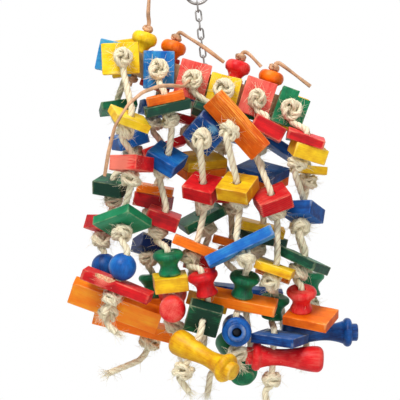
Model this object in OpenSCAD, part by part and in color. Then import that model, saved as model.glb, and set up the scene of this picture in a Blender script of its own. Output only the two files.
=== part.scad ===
// Hanging wooden chew toy: six knotted ropes pass through a top board
// and carry stained wooden blocks, spools and spindles in front of it and behind it.
// Millimetres, +Z up. The origin is the point where the hang ring bears on its hook.

/* [Hanging] */
// Inner diameter of the hang ring
ring_inner_d = 20; // [16:0.5:26]
// Wire diameter of the hang ring
ring_wire_d = 3; // [2:0.25:4]
// Inner length of a chain link
link_inner_l = 9.2; // [7:0.2:12]
// Inner width of a chain link
link_inner_w = 3.6; // [2.8:0.1:5]
// Wire diameter of the chain
link_wire_d = 1.7; // [1.2:0.1:2.2]
// Number of chain links
link_count = 7; // [5:1:10]
// Lean of the chain from the vertical
chain_lean = 6.5; // [0:0.5:8]

/* [Top board] */
// Length of the top board
board_l = 198; // [180:1:230]
// Height of the top board
board_h = 22; // [18:1:26]
// Depth of the top board, front to back
board_d = 20; // [16:1:24]
// Slope of the top board, right end down
board_slope = 17; // [0:1:25]
// Inner diameter of the screw eye
eye_inner_d = 5; // [4:0.5:8]
// Wire diameter of the screw eye
eye_wire_d = 2.4; // [1.6:0.2:3]
// Length of the screw eye's shank in the board
eye_shank_l = 14; // [8:1:16]

/* [Rope] */
// Diameter of the knotted rope
rope_d = 6.4; // [5:0.2:7.4]
// Diameter of a knot
knot_d = 17; // [13:0.5:20]
// Length of a knot along its rope
knot_l = 12; // [8:0.5:15]
// Diameter of the thin strings that pass up through the turned beads
string_d = 4; // [3:0.25:5]
// Diameter of a knot in a thin string
string_knot_d = 10; // [8:0.5:12]
// Width of the leather strip
strip_w = 3.6; // [2.5:0.1:5]

/* [Flat pieces] */
// Length of a small plate
plate_l = 36; // [30:1:42]
// Width of a small plate
plate_w = 30; // [24:1:36]
// Thickness of a small plate
plate_t = 8; // [5:0.5:9]
// Length of a wide plate
wide_l = 44; // [36:1:50]
// Width of a wide plate
wide_w = 36; // [28:1:42]
// Thickness of a wide plate
wide_t = 9; // [6:0.5:11]
// Length of a block
block_l = 32; // [28:1:39]
// Width of a block
block_w = 29; // [26:1:36]
// Thickness of a block
block_t = 14; // [10:0.5:16]
// Length of a plank
plank_l = 68; // [56:1:72]
// Width of a plank
plank_w = 24; // [18:1:28]
// Thickness of a plank
plank_t = 10; // [7:0.5:12]
// Length of a long plank
long_l = 90; // [74:1:98]
// Width of a long plank
long_w = 26; // [20:1:30]
// Thickness of a long plank
long_t = 12; // [8:0.5:14]
// Diameter of the rope holes in the wood
hole_d = 8; // [7.8:0.1:10]

/* [Turned pieces] */
// Diameter of a ball
ball_d = 26; // [20:1:30]
// Diameter of a spool's head
spool_head_d = 29; // [24:1:33]
// Diameter of a spool's waist
spool_waist_d = 15; // [12:0.5:18]
// Diameter of a spool's foot
spool_foot_d = 21; // [18:0.5:26]
// Length of a spool
spool_l = 23; // [18:0.5:28]
// Length of a spindle
spindle_l = 74; // [64:1:82]
// Diameter of a spindle's round end
spindle_end_d = 25; // [20:0.5:28]
// Diameter of a spindle's neck
spindle_neck_d = 16; // [14:0.5:19]
// Diameter of a spindle's collar
spindle_collar_d = 28; // [24:0.5:31]
// Diameter of a spindle's tip
spindle_tip_d = 17; // [13:0.5:20]
// Diameter of the bore in a spindle's tip
spindle_bore_d = 9; // [6:0.5:11]
// Diameter of a top bead
bead_d = 25; // [20:0.5:28]
// Diameter of a top bead's neck
bead_neck_d = 12.5; // [10:0.5:15]
// Height of a top bead
bead_h = 21; // [17:0.5:25]

/* [Hidden] */
$fn = 48;

// Gap between pieces that rest on each other, and the room round a rope in its knot
seat = 0.3;
bore_clear = 0.15;
// How far a rope runs straight on past a piece before it bends, and how much of a bend is cut off
lead = 3.5;
turn_cut = 2.2;
rope_sides = 8;
bite_d = 16;
step_at = 2;

RED = "#e0282d";
BLUE = "#1c6dbb";
YELLOW = "#f8d928";
GREEN = "#1d8a5e";
ORANGE = "#f47a12";
SISAL = "#e0cba4";
TAN = "#c4956b";
STEEL = "#8f8f90";
PINE = "#dcb982";

PLATE = 0;
WIDE = 1;
BLOCK = 2;
PLANK = 3;
LONG = 4;
BALL = 5;
SPOOL = 6;
SPINDLE = 7;
KNOT = true;
OPEN = false;
UNDER = [undef];

// Length, width and thickness of each kind; the rope runs through the thickness
KIND = [
  [plate_l, plate_w, plate_t],
  [wide_l, wide_w, wide_t],
  [block_l, block_w, block_t],
  [plank_l, plank_w, plank_t],
  [long_l, long_w, long_t],
  [ball_d, ball_d, ball_d],
  [spool_head_d, spool_head_d, spool_l],
  [spindle_l, spindle_collar_d, spindle_collar_d]
];

// Where the six rope holes and the four string holes lie along the board, from its middle
rope_at = [-80, -45, -11, 20.5, 53.5, 88];
string_at = [-68, -38.5, 27, 61];
// Where the screw eye stands along the board
eye_at = -4;
// Plates on the board, from the board outward: colour, roll, yaw, shift along its length
top_front = [
  [[BLUE, 12, 0, 8], [YELLOW, -3, 0, 3]],
  [[BLUE, 1, 90, 0]],
  [[RED, 15, 90, 0]],
  [[YELLOW, 14, 90, -4]],
  [[RED, 18, 90, 2]],
  [[GREEN, 20, 90, 2]]
];
top_back = [
  [[YELLOW, -8, 90, -4]],
  [[RED, 20, 90, 0]],
  [[BLUE, 14, 90, 0]],
  [[ORANGE, 18, 90, 2]],
  [[GREEN, 15, 90, 0]],
  [[YELLOW, 20, 90, 0]]
];

// Pieces of each rope from the top down: colour, kind, place of the rope hole from the board's middle,
// turn as pitch, roll and yaw, whether a knot lies below it, shift of the hole along its length
front = [
  [
    [YELLOW, PLATE, [-70, -46, -36], [15, 26, 25], KNOT, 0],
    [RED, BLOCK, [-68, -40, -78], [-4, 3, -35], KNOT, 0],
    [GREEN, WIDE, [-77, -38, -133], [-30, 2, -38], KNOT, 0],
    [BLUE, BALL, [-76, -52, -175], [8, 20, 0], OPEN, 0],
    [RED, PLANK, UNDER, [8, 20, -6], KNOT, -1]
  ],
  [
    [ORANGE, PLATE, [-36, -39, -16], [8, -12, 0], OPEN, 0],
    [GREEN, WIDE, UNDER, [8, -12, 4], KNOT, 0],
    [BLUE, BLOCK, [-36, -22, -73], [35, 22, -15], KNOT, 0],
    [RED, BLOCK, [-39, -15, -130], [10, 20, 0], KNOT, 0],
    [GREEN, SPOOL, [-33, -38, -172], [12, -5, 0], OPEN, 0],
    [YELLOW, BLOCK, UNDER, [12, -5, 5], OPEN, 0],
    [RED, SPINDLE, UNDER, [12, -5, 90], KNOT, -10]
  ],
  [
    [GREEN, PLATE, [7, -26, -30], [-10, 22, 0], OPEN, 0],
    [BLUE, BLOCK, [2, -42, -49], [-60, 30, 12], KNOT, 0],
    [RED, BLOCK, [0, -34, -101], [35, -4, -30], KNOT, 0],
    [ORANGE, WIDE, [-8, -24, -157], [0, 22, 0], KNOT, 0],
    [RED, SPOOL, [1, -50, -191], [12, -14, 0], OPEN, 0],
    [GREEN, BLOCK, [0, -50, -223], [-60, 15, 0], OPEN, 0],
    [YELLOW, SPINDLE, [-10, -60, -252], [0, 25, -35], KNOT, -14]
  ],
  [
    [ORANGE, PLANK, [31, -55, -42], [-45, 48, 0], KNOT, 0],
    [YELLOW, BLOCK, [32, -48, -101], [35, -8, -30], KNOT, 0],
    [BLUE, PLANK, [34, -60, -156], [-10, -26, 0], KNOT, 0],
    [GREEN, SPOOL, [38, -38, -193], [20, 8, 0], OPEN, 0],
    [ORANGE, PLANK, UNDER, [20, 8, -8], OPEN, 0],
    [BLUE, SPINDLE, [31, -38, -236], [0, 0, -90], KNOT, 13]
  ],
  [
    [RED, BLOCK, [57, -34, -42], [0, 28, 0], KNOT, -5],
    [RED, BLOCK, [65, -46, -112], [30, -15, 8], KNOT, 0],
    [YELLOW, PLATE, [67, -50, -177], [5, 18, -10], KNOT, 0],
    [GREEN, SPOOL, [68, -8, -216], [10, 8, 0], OPEN, 0],
    [BLUE, WIDE, [67, -34, -243], [5, 3, -28], OPEN, -6],
    [RED, SPINDLE, UNDER, [5, 3, 180], KNOT, 11]
  ],
  [
    [RED, PLATE, [96, -50, -54], [10, 18, 0], OPEN, 0],
    [YELLOW, BLOCK, UNDER, [10, 18, 12], KNOT, -6],
    [BLUE, BLOCK, [95, -28, -124], [-18, 10, -35], KNOT, 0],
    [GREEN, WIDE, [95, -28, -170], [2, 24, -30], KNOT, 0],
    [RED, SPOOL, [93, -34, -207], [22, 0, 0], OPEN, 0],
    [ORANGE, WIDE, UNDER, [22, 0, -25], OPEN, -10],
    [BLUE, SPINDLE, [100, -2, -241], [0, 0, 0], KNOT, -13]
  ]
];
back = [
  [
    [GREEN, PLATE, [-85, 32, -20], [-10, -10, 10], KNOT, 0],
    [BLUE, BLOCK, [-74, 32, -52], [10, -15, 20], KNOT, 0],
    [GREEN, BLOCK, [-90, 30, -98], [20, 0, -25], KNOT, 0],
    [RED, BLOCK, [-98, 30, -138], [-10, 15, 30], KNOT, 0],
    [BLUE, BALL, [-98, 24, -178], [0, 0, 0], OPEN, 0],
    [ORANGE, LONG, [-88, -21, -212], [-55, 20, 0], KNOT, -4]
  ],
  [
    [BLUE, BLOCK, [-47, 30, -22], [0, 10, 10], KNOT, 0],
    [RED, WIDE, [-40, 34, -60], [0, -20, 5], KNOT, 0],
    [ORANGE, PLATE, [-48, 32, -102], [5, 10, 0], OPEN, 0],
    [RED, BLOCK, UNDER, [5, 10, -20], KNOT, 0],
    [BLUE, BLOCK, [-52, 30, -158], [-20, 10, 20], KNOT, 0],
    [GREEN, SPOOL, [-50, 28, -198], [0, 0, 0], OPEN, 0],
    [ORANGE, PLANK, UNDER, [0, 0, 10], OPEN, 4],
    [ORANGE, LONG, [-50, 12, -240], [8, 14, 0], KNOT, 14]
  ],
  [
    [RED, PLATE, [-11, 34, -34], [0, 15, 0], KNOT, 0],
    [YELLOW, WIDE, [-4, 20, -73], [20, 3, 30], OPEN, 0],
    [ORANGE, WIDE, UNDER, [20, 3, 28], KNOT, 0],
    [GREEN, WIDE, [-2, 22, -130], [15, -25, 10], KNOT, 0],
    [RED, BLOCK, [-3, 30, -173], [10, 12, 0], KNOT, 0],
    [YELLOW, BLOCK, [4, 30, -214], [0, 15, 30], KNOT, 0]
  ],
  [
    [BLUE, PLATE, [23, 34, -48], [0, 20, 0], KNOT, 0],
    [RED, BLOCK, [28, 34, -106], [10, 0, 0], KNOT, 0],
    [ORANGE, PLATE, [27, 36, -155], [0, 15, 0], KNOT, 0],
    [BLUE, PLANK, [44, 17, -203], [5, 6, 0], KNOT, 0],
    [GREEN, SPINDLE, [32, 14, -268], [0, 60, -60], KNOT, 0]
  ],
  [
    [BLUE, PLANK, [60, 31, -50], [-8, 33, 0], KNOT, 0],
    [BLUE, WIDE, [58, 22, -84], [20, 5, -30], OPEN, 0],
    [ORANGE, WIDE, UNDER, [20, 5, -28], KNOT, 0],
    [YELLOW, WIDE, [58, 18, -140], [5, 14, 0], OPEN, 0],
    [GREEN, WIDE, UNDER, [5, 14, 35], KNOT, 0],
    [ORANGE, PLATE, [70, 34, -184], [10, 20, 0], KNOT, 0]
  ],
  [
    [GREEN, PLATE, [101, 34, -51], [0, 10, 0], KNOT, 0],
    [YELLOW, PLATE, [105, 38, -82], [0, 5, 0], KNOT, 0],
    [RED, BLOCK, [98, 32, -126], [0, 10, 15], KNOT, 0],
    [GREEN, SPOOL, [106, 30, -196], [0, 0, 0], KNOT, 0]
  ]
];
front_tail = [
  [[-94, -50, -220]],
  [[-26, -24, -250], [-22, -26, -262]],
  [[-24, -59, -277], [-14, -58, -291]],
  [[34, -40, -268]],
  [[58, -30, -292], [60, -32, -306]],
  [[98, -2, -270]]
];
back_tail = [
  [[-90, -46, -231], [-82, -48, -237]],
  [[-62, 14, -270], [-92, 0, -281]],
  [[2, 30, -240], [0, 28, -258]],
  [[6, 14, -292], [4, 14, -302]],
  [[78, 40, -214], [80, 38, -240]],
  [[98, 32, -234], [94, 32, -250]]
];
string_tail = [
  [[-54, -4, 66], [-52, -6, 95]],
  [[-16, -8, 46], [0, -10, 36], [20, -8, 21]],
  [[44, -5, 30], [56, -6, 17]],
  [[82, -3, 15], [104, -4, -2]]
];
strip_route = [[-14, -30.8, 1], [-14, -35, 0.6], [-20, -48, -6], [-30, -56, -5], [-42, -57, -6], [-57, -62, -12],
  [-70, -70, -24], [-82, -72, -44], [-88, -70, -68], [-92, -66, -90]];

function unit(v) = v / norm(v);
function down(turn) = [-cos(turn[0]) * sin(turn[1]), sin(turn[0]), -cos(turn[0]) * cos(turn[1])];
function thick(row) = KIND[row[1]][2];
function is_under(rows, k) = k < len(rows) && !is_num(rows[k][2][0]);

// The middle of a rope hole: its own place, or right under the piece above it
function place(rows, k) = is_under(rows, k) ?
  place(rows, k - 1) + down(rows[k - 1][3]) * (thick(rows[k - 1]) / 2 + seat + thick(rows[k]) / 2) :
  rows[k][2];

// The board hangs from the last chain link by its screw eye
link_pitch = link_inner_l - seat;
chain_dir = [sin(chain_lean), 0, -cos(chain_lean)];
chain_top = [0, 0, -ring_inner_d + seat];
chain_end = chain_top + chain_dir * (link_count * link_pitch);
eye_middle = chain_end - [0, 0, eye_inner_d / 2];
board_dir = [cos(board_slope), 0, -sin(board_slope)];
board_up = [sin(board_slope), 0, cos(board_slope)];
eye_drop = eye_inner_d / 2 + eye_wire_d + board_h / 2;
middle = eye_middle - board_up * eye_drop - board_dir * eye_at;
string_hole_d = string_d + 2 * seat;
string_knot_l = string_knot_d * 0.7;

function hole_place(i) = rope_at[i] * board_dir;
function top_knot_y(plates) = board_d / 2 + len(plates) * (plate_t + seat) + seat + knot_l / 2;
function top_knot_place(i, side, plates) = hole_place(i) + [0, side * top_knot_y(plates), 0];

// Cuts each bend of a route in two
function soften(p) = concat([p[0]],
  [for (i = [1:1:len(p) - 2], at = [-1, 1])
    p[i] + min(turn_cut, norm(p[i + at] - p[i]) / 3) * unit(p[i + at] - p[i])],
  [p[len(p) - 1]]);

// Straight stretches of rope through each piece and its knot
function through(rows) = [for (k = [0:len(rows) - 1], end = [-1, 1])
  if (end < 0 ? !is_under(rows, k) : !is_under(rows, k + 1))
    place(rows, k) + end * down(rows[k][3]) * (thick(rows[k]) / 2 + lead
      + (end > 0 && rows[k][4] ? seat + knot_l : 0))];

// The route of a rope: out of the board, into its top knot, and down through its pieces
function rope_route(i, side, plates, rows, tail) =
  let (top = top_knot_place(i, side, plates))
  concat([hole_place(i), top],
    soften(concat([top - [0, 0, knot_d / 2 + lead]], through(rows), tail)));

function string_route(i) =
  let (foot = string_at[i] * board_dir, under = board_h / 2 + seat + string_knot_l,
    over = board_h / 2 + bead_h + 2 * seat + string_knot_l)
  concat([foot - board_up * (under + string_d)],
    soften(concat([foot, foot + board_up * (over + lead)], string_tail[i])));

function headings(p) = [for (i = [0:len(p) - 1])
  unit((i > 0 ? unit(p[i] - p[i - 1]) : [0, 0, 0]) + (i < len(p) - 1 ? unit(p[i + 1] - p[i]) : [0, 0, 0]))];
function across(n, t) = unit(n - (n * t) * t);
function ring_starts(t) = [for (i = 0, n = across([0.9, 0.3, 0.1], t[0]); i < len(t);
  i = i + 1, n = across(n, t[min(i, len(t) - 1)])) n];

// A plain round tube along a route
module tube(p, d) {
  t = headings(p);
  n = ring_starts(t);
  s = rope_sides;
  last = len(p) - 1;
  polyhedron(
    [for (i = [0:last], j = [0:s - 1])
      p[i] + d / 2 * (cos(360 * j / s) * n[i] + sin(360 * j / s) * cross(t[i], n[i]))],
    concat(
      [[for (j = [0:s - 1]) j]],
      [for (i = [0:last - 1], j = [0:s - 1], half = [0, 1])
        let (a = i * s + j, b = i * s + (j + 1) % s)
        half == 0 ? [a, a + s, b] : [b, a + s, b + s]],
      [[for (j = [s - 1:-1:0]) last * s + j]]));
}

module at_board() {
  translate(middle) children();
}

module turned(turn) {
  rotate([0, turn[1], 0]) rotate([turn[0], 0, 0]) rotate([0, 0, turn[2]]) children();
}

// Points of an arc, for the outline of a turned piece
function arc(x, z, rx, rz, from, to, steps) =
  [for (k = [0:steps]) let (a = from + (to - from) * k / steps) [x + rx * cos(a), z + rz * sin(a)]];

// A sawn piece of wood with its rope hole, which lies shifted from the middle of its length
module sawn(size, shift) {
  difference() {
    translate([-shift, 0, 0]) cube(size, center = true);
    cylinder(d = hole_d, h = size[2] + 2, center = true);
  }
}

module ball() {
  difference() {
    sphere(d = ball_d);
    cylinder(d = hole_d, h = ball_d + 2, center = true);
  }
}

// A turned spool: a wide round-edged head, a hollow waist and a smaller foot
module spool() {
  head_h = spool_l * 0.34;
  foot_h = spool_l * 0.14;
  waist_h = spool_l - head_h - foot_h;
  head_r = spool_head_d / 2;
  waist_r = spool_waist_d / 2;
  foot_r = spool_foot_d / 2;
  low = -spool_l / 2;
  rotate_extrude() polygon(concat(
    [[hole_d / 2, low], [foot_r - 1, low], [foot_r, low + 1], [foot_r, low + foot_h]],
    [for (k = [1:5]) let (s = k / 6)
      [waist_r + (foot_r - waist_r) * pow(1 - s, 3) + (head_r * 0.86 - waist_r) * pow(s, 3),
        low + foot_h + waist_h * s]],
    arc(head_r - head_h / 2, -low - head_h / 2, head_h / 2, head_h / 2, -60, 90, 6),
    [[hole_d / 2, -low]]));
}

// A turned spindle: a round end, a body that thins to the neck, a collar and a stepped tip
module spindle(bored, shift) {
  end_r = spindle_end_d / 2;
  neck_r = spindle_neck_d / 2;
  collar_r = spindle_collar_d / 2;
  tip_r = spindle_tip_d / 2;
  collar_w = spindle_collar_d * 0.3;
  tip_l = spindle_tip_d * 0.35;
  body_l = spindle_l - collar_w - tip_l;
  neck_at = 0.68;
  start = end_r * 0.5;
  difference() {
    translate([-spindle_l / 2 - shift, 0, 0]) rotate([0, 90, 0]) rotate_extrude() polygon(concat(
      [[0, 0]],
      arc(end_r / 2, start, end_r / 2, start, -90, 0, 5),
      [for (k = [1:7]) let (s = k / 7)
        [s < neck_at ? end_r + (neck_r - end_r) * (1 - cos(180 * s / neck_at)) / 2 :
          neck_r + (collar_r * 0.8 - neck_r) * pow((s - neck_at) / (1 - neck_at), 2),
          start + (body_l - start) * s]],
      arc(collar_r - collar_w / 2, body_l + collar_w / 2, collar_w / 2, collar_w / 2, -60, 80, 5),
      [[tip_r, body_l + collar_w], [tip_r, spindle_l - 1], [tip_r - 1, spindle_l], [0, spindle_l]]));
    cylinder(d = hole_d, h = spindle_end_d + 4, center = true);
    if (bored)
      translate([spindle_l / 2 - shift - spindle_bore_d, 0, 0]) rotate([0, 90, 0])
        cylinder(d = spindle_bore_d, h = spindle_bore_d + 1);
  }
}

// A turned top bead: a thick round cap on a narrow neck, with a hole for its string
module bead() {
  cap_h = bead_h * 0.6;
  edge = cap_h * 0.4;
  neck_r = bead_neck_d / 2;
  rotate_extrude() polygon(concat(
    [[string_hole_d / 2, 0], [neck_r + 0.6, 0], [neck_r, bead_h * 0.1]],
    [for (k = [0:3]) let (s = k / 4)
      [neck_r + (bead_d * 0.42 - neck_r) * s * s, bead_h * (0.14 + 0.36 * s)]],
    arc(bead_d / 2 - edge, bead_h - cap_h / 2, edge, cap_h / 2, -40, 90, 6),
    [[string_hole_d / 2, bead_h]]));
}

// A knot drawn tight round its rope: three wraps with a bore for the rope that runs through them
module knot(d, l, bore) {
  wrap = l / 6;
  rotate_extrude() polygon(concat(
    [[bore / 2, 0]],
    [for (w = [0:2], a = [-70, -25, 25, 70])
      [(w == 1 ? d / 2 : d * 0.43) - wrap * (1 - cos(a)), l * (w + 0.5) / 3 + wrap * sin(a)]],
    [[bore / 2, l]]));
}

// Draws the children under each piece that has a knot below it
module under_each(rows) {
  for (k = [0:len(rows) - 1])
    if (rows[k][4])
      translate(place(rows, k)) turned(rows[k][3]) translate([0, 0, -thick(rows[k]) / 2 - seat]) children();
}

module knots_of(ropes) {
  color(SISAL) at_board() for (rows = ropes)
    under_each(rows) rotate([180, 0, 0]) knot(knot_d, knot_l, rope_d + 2 * bore_clear);
}

// A knot in front of a plate, where the rope turns from the plate's hole to hang down
module top_knot(side) {
  bore = rope_d + 2 * bore_clear;
  difference() {
    rotate([side * -90, 0, 0]) translate([0, 0, -knot_l / 2]) knot(knot_d, knot_l, 0);
    rotate([side * 90, 0, 0]) translate([0, 0, -bore / 2]) cylinder(d = bore, h = knot_l + bore);
    translate([0, 0, -knot_d]) cylinder(d = bore, h = knot_d + bore / 2);
  }
}

// Every sawn piece of one colour and kind, on the front ropes and the back ropes
module sawn_pieces(shade, kind) {
  color(shade) at_board() for (rows = concat(front, back), k = [0:len(rows) - 1])
    if (rows[k][0] == shade && rows[k][1] == kind)
      translate(place(rows, k)) turned(rows[k][3]) sawn(KIND[kind], rows[k][5]);
}

// Every turned piece of one colour and kind; the children give its form
module turned_pieces(shade, kind) {
  color(shade) at_board() for (rows = concat(front, back), k = [0:len(rows) - 1])
    if (rows[k][0] == shade && rows[k][1] == kind)
      translate(place(rows, k)) turned(rows[k][3]) {
        if (kind == BALL) ball();
        if (kind == SPOOL) spool();
        if (kind == SPINDLE) spindle(shade == BLUE, rows[k][5]);
      }
}

// The plates that lie on the board's front and back faces
module top_plates(shade) {
  color(shade) at_board() for (i = [0:5], side = [-1, 1]) {
    plates = side < 0 ? top_front[i] : top_back[i];
    for (k = [0:len(plates) - 1])
      if (plates[k][0] == shade)
        translate(hole_place(i) + [0, side * (board_d / 2 + seat + plate_t / 2 + k * (plate_t + seat)), 0])
          turned([side * 90, plates[k][1], plates[k][2]]) sawn(KIND[PLATE], plates[k][3]);
  }
}

module hang_ring() {
  color(STEEL) translate([0, 0, -ring_inner_d / 2]) rotate([90, 0, 0])
    rotate_extrude() translate([(ring_inner_d + ring_wire_d) / 2, 0]) circle(d = ring_wire_d);
}

// One link, hung by its top bow, in the XZ plane
module link() {
  bow = (link_inner_w + link_wire_d) / 2;
  straight = link_inner_l - link_inner_w;
  translate([0, 0, -link_inner_l / 2]) {
    for (end = [-1, 1]) translate([0, 0, end * straight / 2]) rotate([90, 0, 0])
      rotate([0, 0, end < 0 ? 180 : 0]) rotate_extrude(angle = 180) translate([bow, 0]) circle(d = link_wire_d, $fn = 24);
    for (side = [-1, 1]) translate([side * bow, 0, 0])
      cylinder(d = link_wire_d, h = straight, center = true, $fn = 24);
  }
}

module chain() {
  color(STEEL) for (k = [0:link_count - 1])
    translate(chain_top + chain_dir * link_pitch * k) rotate([0, -chain_lean, 0]) rotate([0, 0, 90 * ((k + 1) % 2)])
      link();
}

// A ring of wire on a straight shank, screwed into the top of the board
module screw_eye() {
  color(STEEL) translate(eye_middle) rotate([0, board_slope, 0]) {
    rotate([90, 0, 0]) rotate_extrude() translate([(eye_inner_d + eye_wire_d) / 2, 0]) circle(d = eye_wire_d);
    translate([0, 0, -eye_inner_d / 2 - eye_wire_d / 2 - eye_shank_l]) cylinder(d = eye_wire_d, h = eye_shank_l);
  }
}

module top_board() {
  color(PINE) at_board() rotate([0, board_slope, 0]) difference() {
    cube([board_l, board_d, board_h], center = true);
    for (at = rope_at) translate([at, 0, 0]) rotate([90, 0, 0]) cylinder(d = hole_d, h = board_d + 2, center = true);
    for (at = string_at) translate([at, 0, 0]) cylinder(d = string_hole_d, h = board_h + 2, center = true);
    translate([eye_at, 0, board_h / 2 - eye_shank_l]) cylinder(d = eye_wire_d, h = eye_shank_l + 1);
  }
}

module bead_at(i) {
  at_board() rotate([0, board_slope, 0]) translate([string_at[i], 0, board_h / 2 + seat]) bead();
}

module bead_yellow() {
  color(YELLOW) bead_at(0);
}

module beads_orange() {
  color(ORANGE) {
    bead_at(1);
    bead_at(3);
  }
}

module bead_red() {
  color(RED) bead_at(2);
}

module string(i) {
  color(TAN) at_board() tube(string_route(i), string_d);
}

// One knot on each bead and one under the board
module string_knots() {
  color(TAN) at_board() rotate([0, board_slope, 0]) for (at = string_at) {
    translate([at, 0, board_h / 2 + bead_h + 2 * seat])
      knot(string_knot_d, string_knot_l, string_d + 2 * bore_clear);
    translate([at, 0, -board_h / 2 - seat - string_knot_l])
      knot(string_knot_d, string_knot_l, string_d + 2 * bore_clear);
  }
}

module leather_strip() {
  color(TAN) at_board() tube(strip_route, strip_w);
}

module rope(i, side) {
  color(SISAL) at_board() tube(side < 0 ?
    rope_route(i, side, top_front[i], front[i], front_tail[i]) :
    rope_route(i, side, top_back[i], back[i], back_tail[i]), rope_d);
}

module knots_top() {
  color(SISAL) at_board() for (i = [0:5], side = [-1, 1])
    translate(top_knot_place(i, side, side < 0 ? top_front[i] : top_back[i])) top_knot(side);
}

// The bitten edge of the red plank
module bite() {
  at_board() translate(place(front[0], 4)) turned(front[0][4][3])
    for (at = [-15, -7]) translate([at, -plank_w / 2 + 2, plank_t / 2 + bite_d * 0.3]) sphere(d = bite_d);
}

// The step sawn out of the top edge of the last plate
module plate_step() {
  at_board() translate(hole_place(5) - [0, board_d / 2 + plate_t, 0]) rotate([0, top_front[5][0][1], 0])
    translate([step_at, -plate_t, plate_l * 0.4]) cube([plate_w, 2 * plate_t, plate_l]);
}

module string_1() {
  string(0);
}

module string_2() {
  string(1);
}

module string_3() {
  string(2);
}

module string_4() {
  string(3);
}

module rope_front_1() {
  rope(0, -1);
}

module rope_front_2() {
  rope(1, -1);
}

module rope_front_3() {
  rope(2, -1);
}

module rope_front_4() {
  rope(3, -1);
}

module rope_front_5() {
  rope(4, -1);
}

module rope_front_6() {
  rope(5, -1);
}

module rope_back_1() {
  rope(0, 1);
}

module rope_back_2() {
  rope(1, 1);
}

module rope_back_3() {
  rope(2, 1);
}

module rope_back_4() {
  rope(3, 1);
}

module rope_back_5() {
  rope(4, 1);
}

module rope_back_6() {
  rope(5, 1);
}

module knots_front() {
  knots_of(front);
}

module knots_back() {
  knots_of(back);
}

module plates_red() {
  top_plates(RED);
  sawn_pieces(RED, PLATE);
}

module plates_blue() {
  top_plates(BLUE);
  sawn_pieces(BLUE, PLATE);
}

module plates_yellow() {
  top_plates(YELLOW);
  sawn_pieces(YELLOW, PLATE);
}

module plates_green() {
  difference() {
    top_plates(GREEN);
    plate_step();
  }
  sawn_pieces(GREEN, PLATE);
}

module plates_orange() {
  top_plates(ORANGE);
  sawn_pieces(ORANGE, PLATE);
}

module wide_red() {
  sawn_pieces(RED, WIDE);
}

module wide_blue() {
  sawn_pieces(BLUE, WIDE);
}

module wide_yellow() {
  sawn_pieces(YELLOW, WIDE);
}

module wide_green() {
  sawn_pieces(GREEN, WIDE);
}

module wide_orange() {
  sawn_pieces(ORANGE, WIDE);
}

module blocks_red() {
  sawn_pieces(RED, BLOCK);
}

module blocks_blue() {
  sawn_pieces(BLUE, BLOCK);
}

module blocks_yellow() {
  sawn_pieces(YELLOW, BLOCK);
}

module blocks_green() {
  sawn_pieces(GREEN, BLOCK);
}

module planks_red() {
  difference() {
    sawn_pieces(RED, PLANK);
    bite();
  }
}

module planks_blue() {
  sawn_pieces(BLUE, PLANK);
  sawn_pieces(BLUE, LONG);
}

module planks_orange() {
  sawn_pieces(ORANGE, PLANK);
  sawn_pieces(ORANGE, LONG);
}

module balls_blue() {
  turned_pieces(BLUE, BALL);
}

module spools_red() {
  turned_pieces(RED, SPOOL);
}

module spools_green() {
  turned_pieces(GREEN, SPOOL);
}

module spindle_yellow() {
  turned_pieces(YELLOW, SPINDLE);
}

module spindles_blue() {
  turned_pieces(BLUE, SPINDLE);
}

module spindle_red() {
  turned_pieces(RED, SPINDLE);
}

module spindle_green() {
  turned_pieces(GREEN, SPINDLE);
}

hang_ring();
chain();
screw_eye();
top_board();
bead_yellow();
beads_orange();
bead_red();
string_1();
string_2();
string_3();
string_4();
string_knots();
leather_strip();
rope_front_1();
rope_front_2();
rope_front_3();
rope_front_4();
rope_front_5();
rope_front_6();
rope_back_1();
rope_back_2();
rope_back_3();
rope_back_4();
rope_back_5();
rope_back_6();
knots_top();
knots_front();
knots_back();
plates_red();
plates_blue();
plates_yellow();
plates_green();
plates_orange();
wide_red();
wide_blue();
wide_yellow();
wide_green();
wide_orange();
blocks_red();
blocks_blue();
blocks_yellow();
blocks_green();
planks_red();
planks_blue();
planks_orange();
balls_blue();
spools_red();
spools_green();
spindle_yellow();
spindles_blue();
spindle_red();
spindle_green();
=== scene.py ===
"""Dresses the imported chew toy: dyed wood, turned pieces, knotted sisal, leather and steel."""
import json
import math
import random

import bmesh
import bpy
from bpy.props import FloatProperty, FloatVectorProperty, IntProperty, PointerProperty
from mathutils import Matrix, Vector, noise


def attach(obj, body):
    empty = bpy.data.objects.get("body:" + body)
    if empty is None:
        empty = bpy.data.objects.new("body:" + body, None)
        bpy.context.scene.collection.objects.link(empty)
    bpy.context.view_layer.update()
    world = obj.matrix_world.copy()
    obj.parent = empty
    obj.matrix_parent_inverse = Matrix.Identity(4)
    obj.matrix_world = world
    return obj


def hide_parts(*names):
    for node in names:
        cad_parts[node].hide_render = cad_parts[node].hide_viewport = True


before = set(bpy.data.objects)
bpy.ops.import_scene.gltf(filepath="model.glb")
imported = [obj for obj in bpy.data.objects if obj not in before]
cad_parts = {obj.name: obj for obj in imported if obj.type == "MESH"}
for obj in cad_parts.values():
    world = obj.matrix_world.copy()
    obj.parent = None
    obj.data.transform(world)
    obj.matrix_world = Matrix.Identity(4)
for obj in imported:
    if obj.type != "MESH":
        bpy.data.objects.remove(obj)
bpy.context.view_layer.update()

bl_info = {
    "name": "Hanging chew toy",
    "version": (1, 0, 0),
    "blender": (4, 5, 0),
    "location": "3D View > Sidebar > Chew toy",
    "description": "Dyed blocks, spools and spindles on knotted sisal ropes under a sloping board",
    "category": "Object",
}

MM = 0.001

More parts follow.
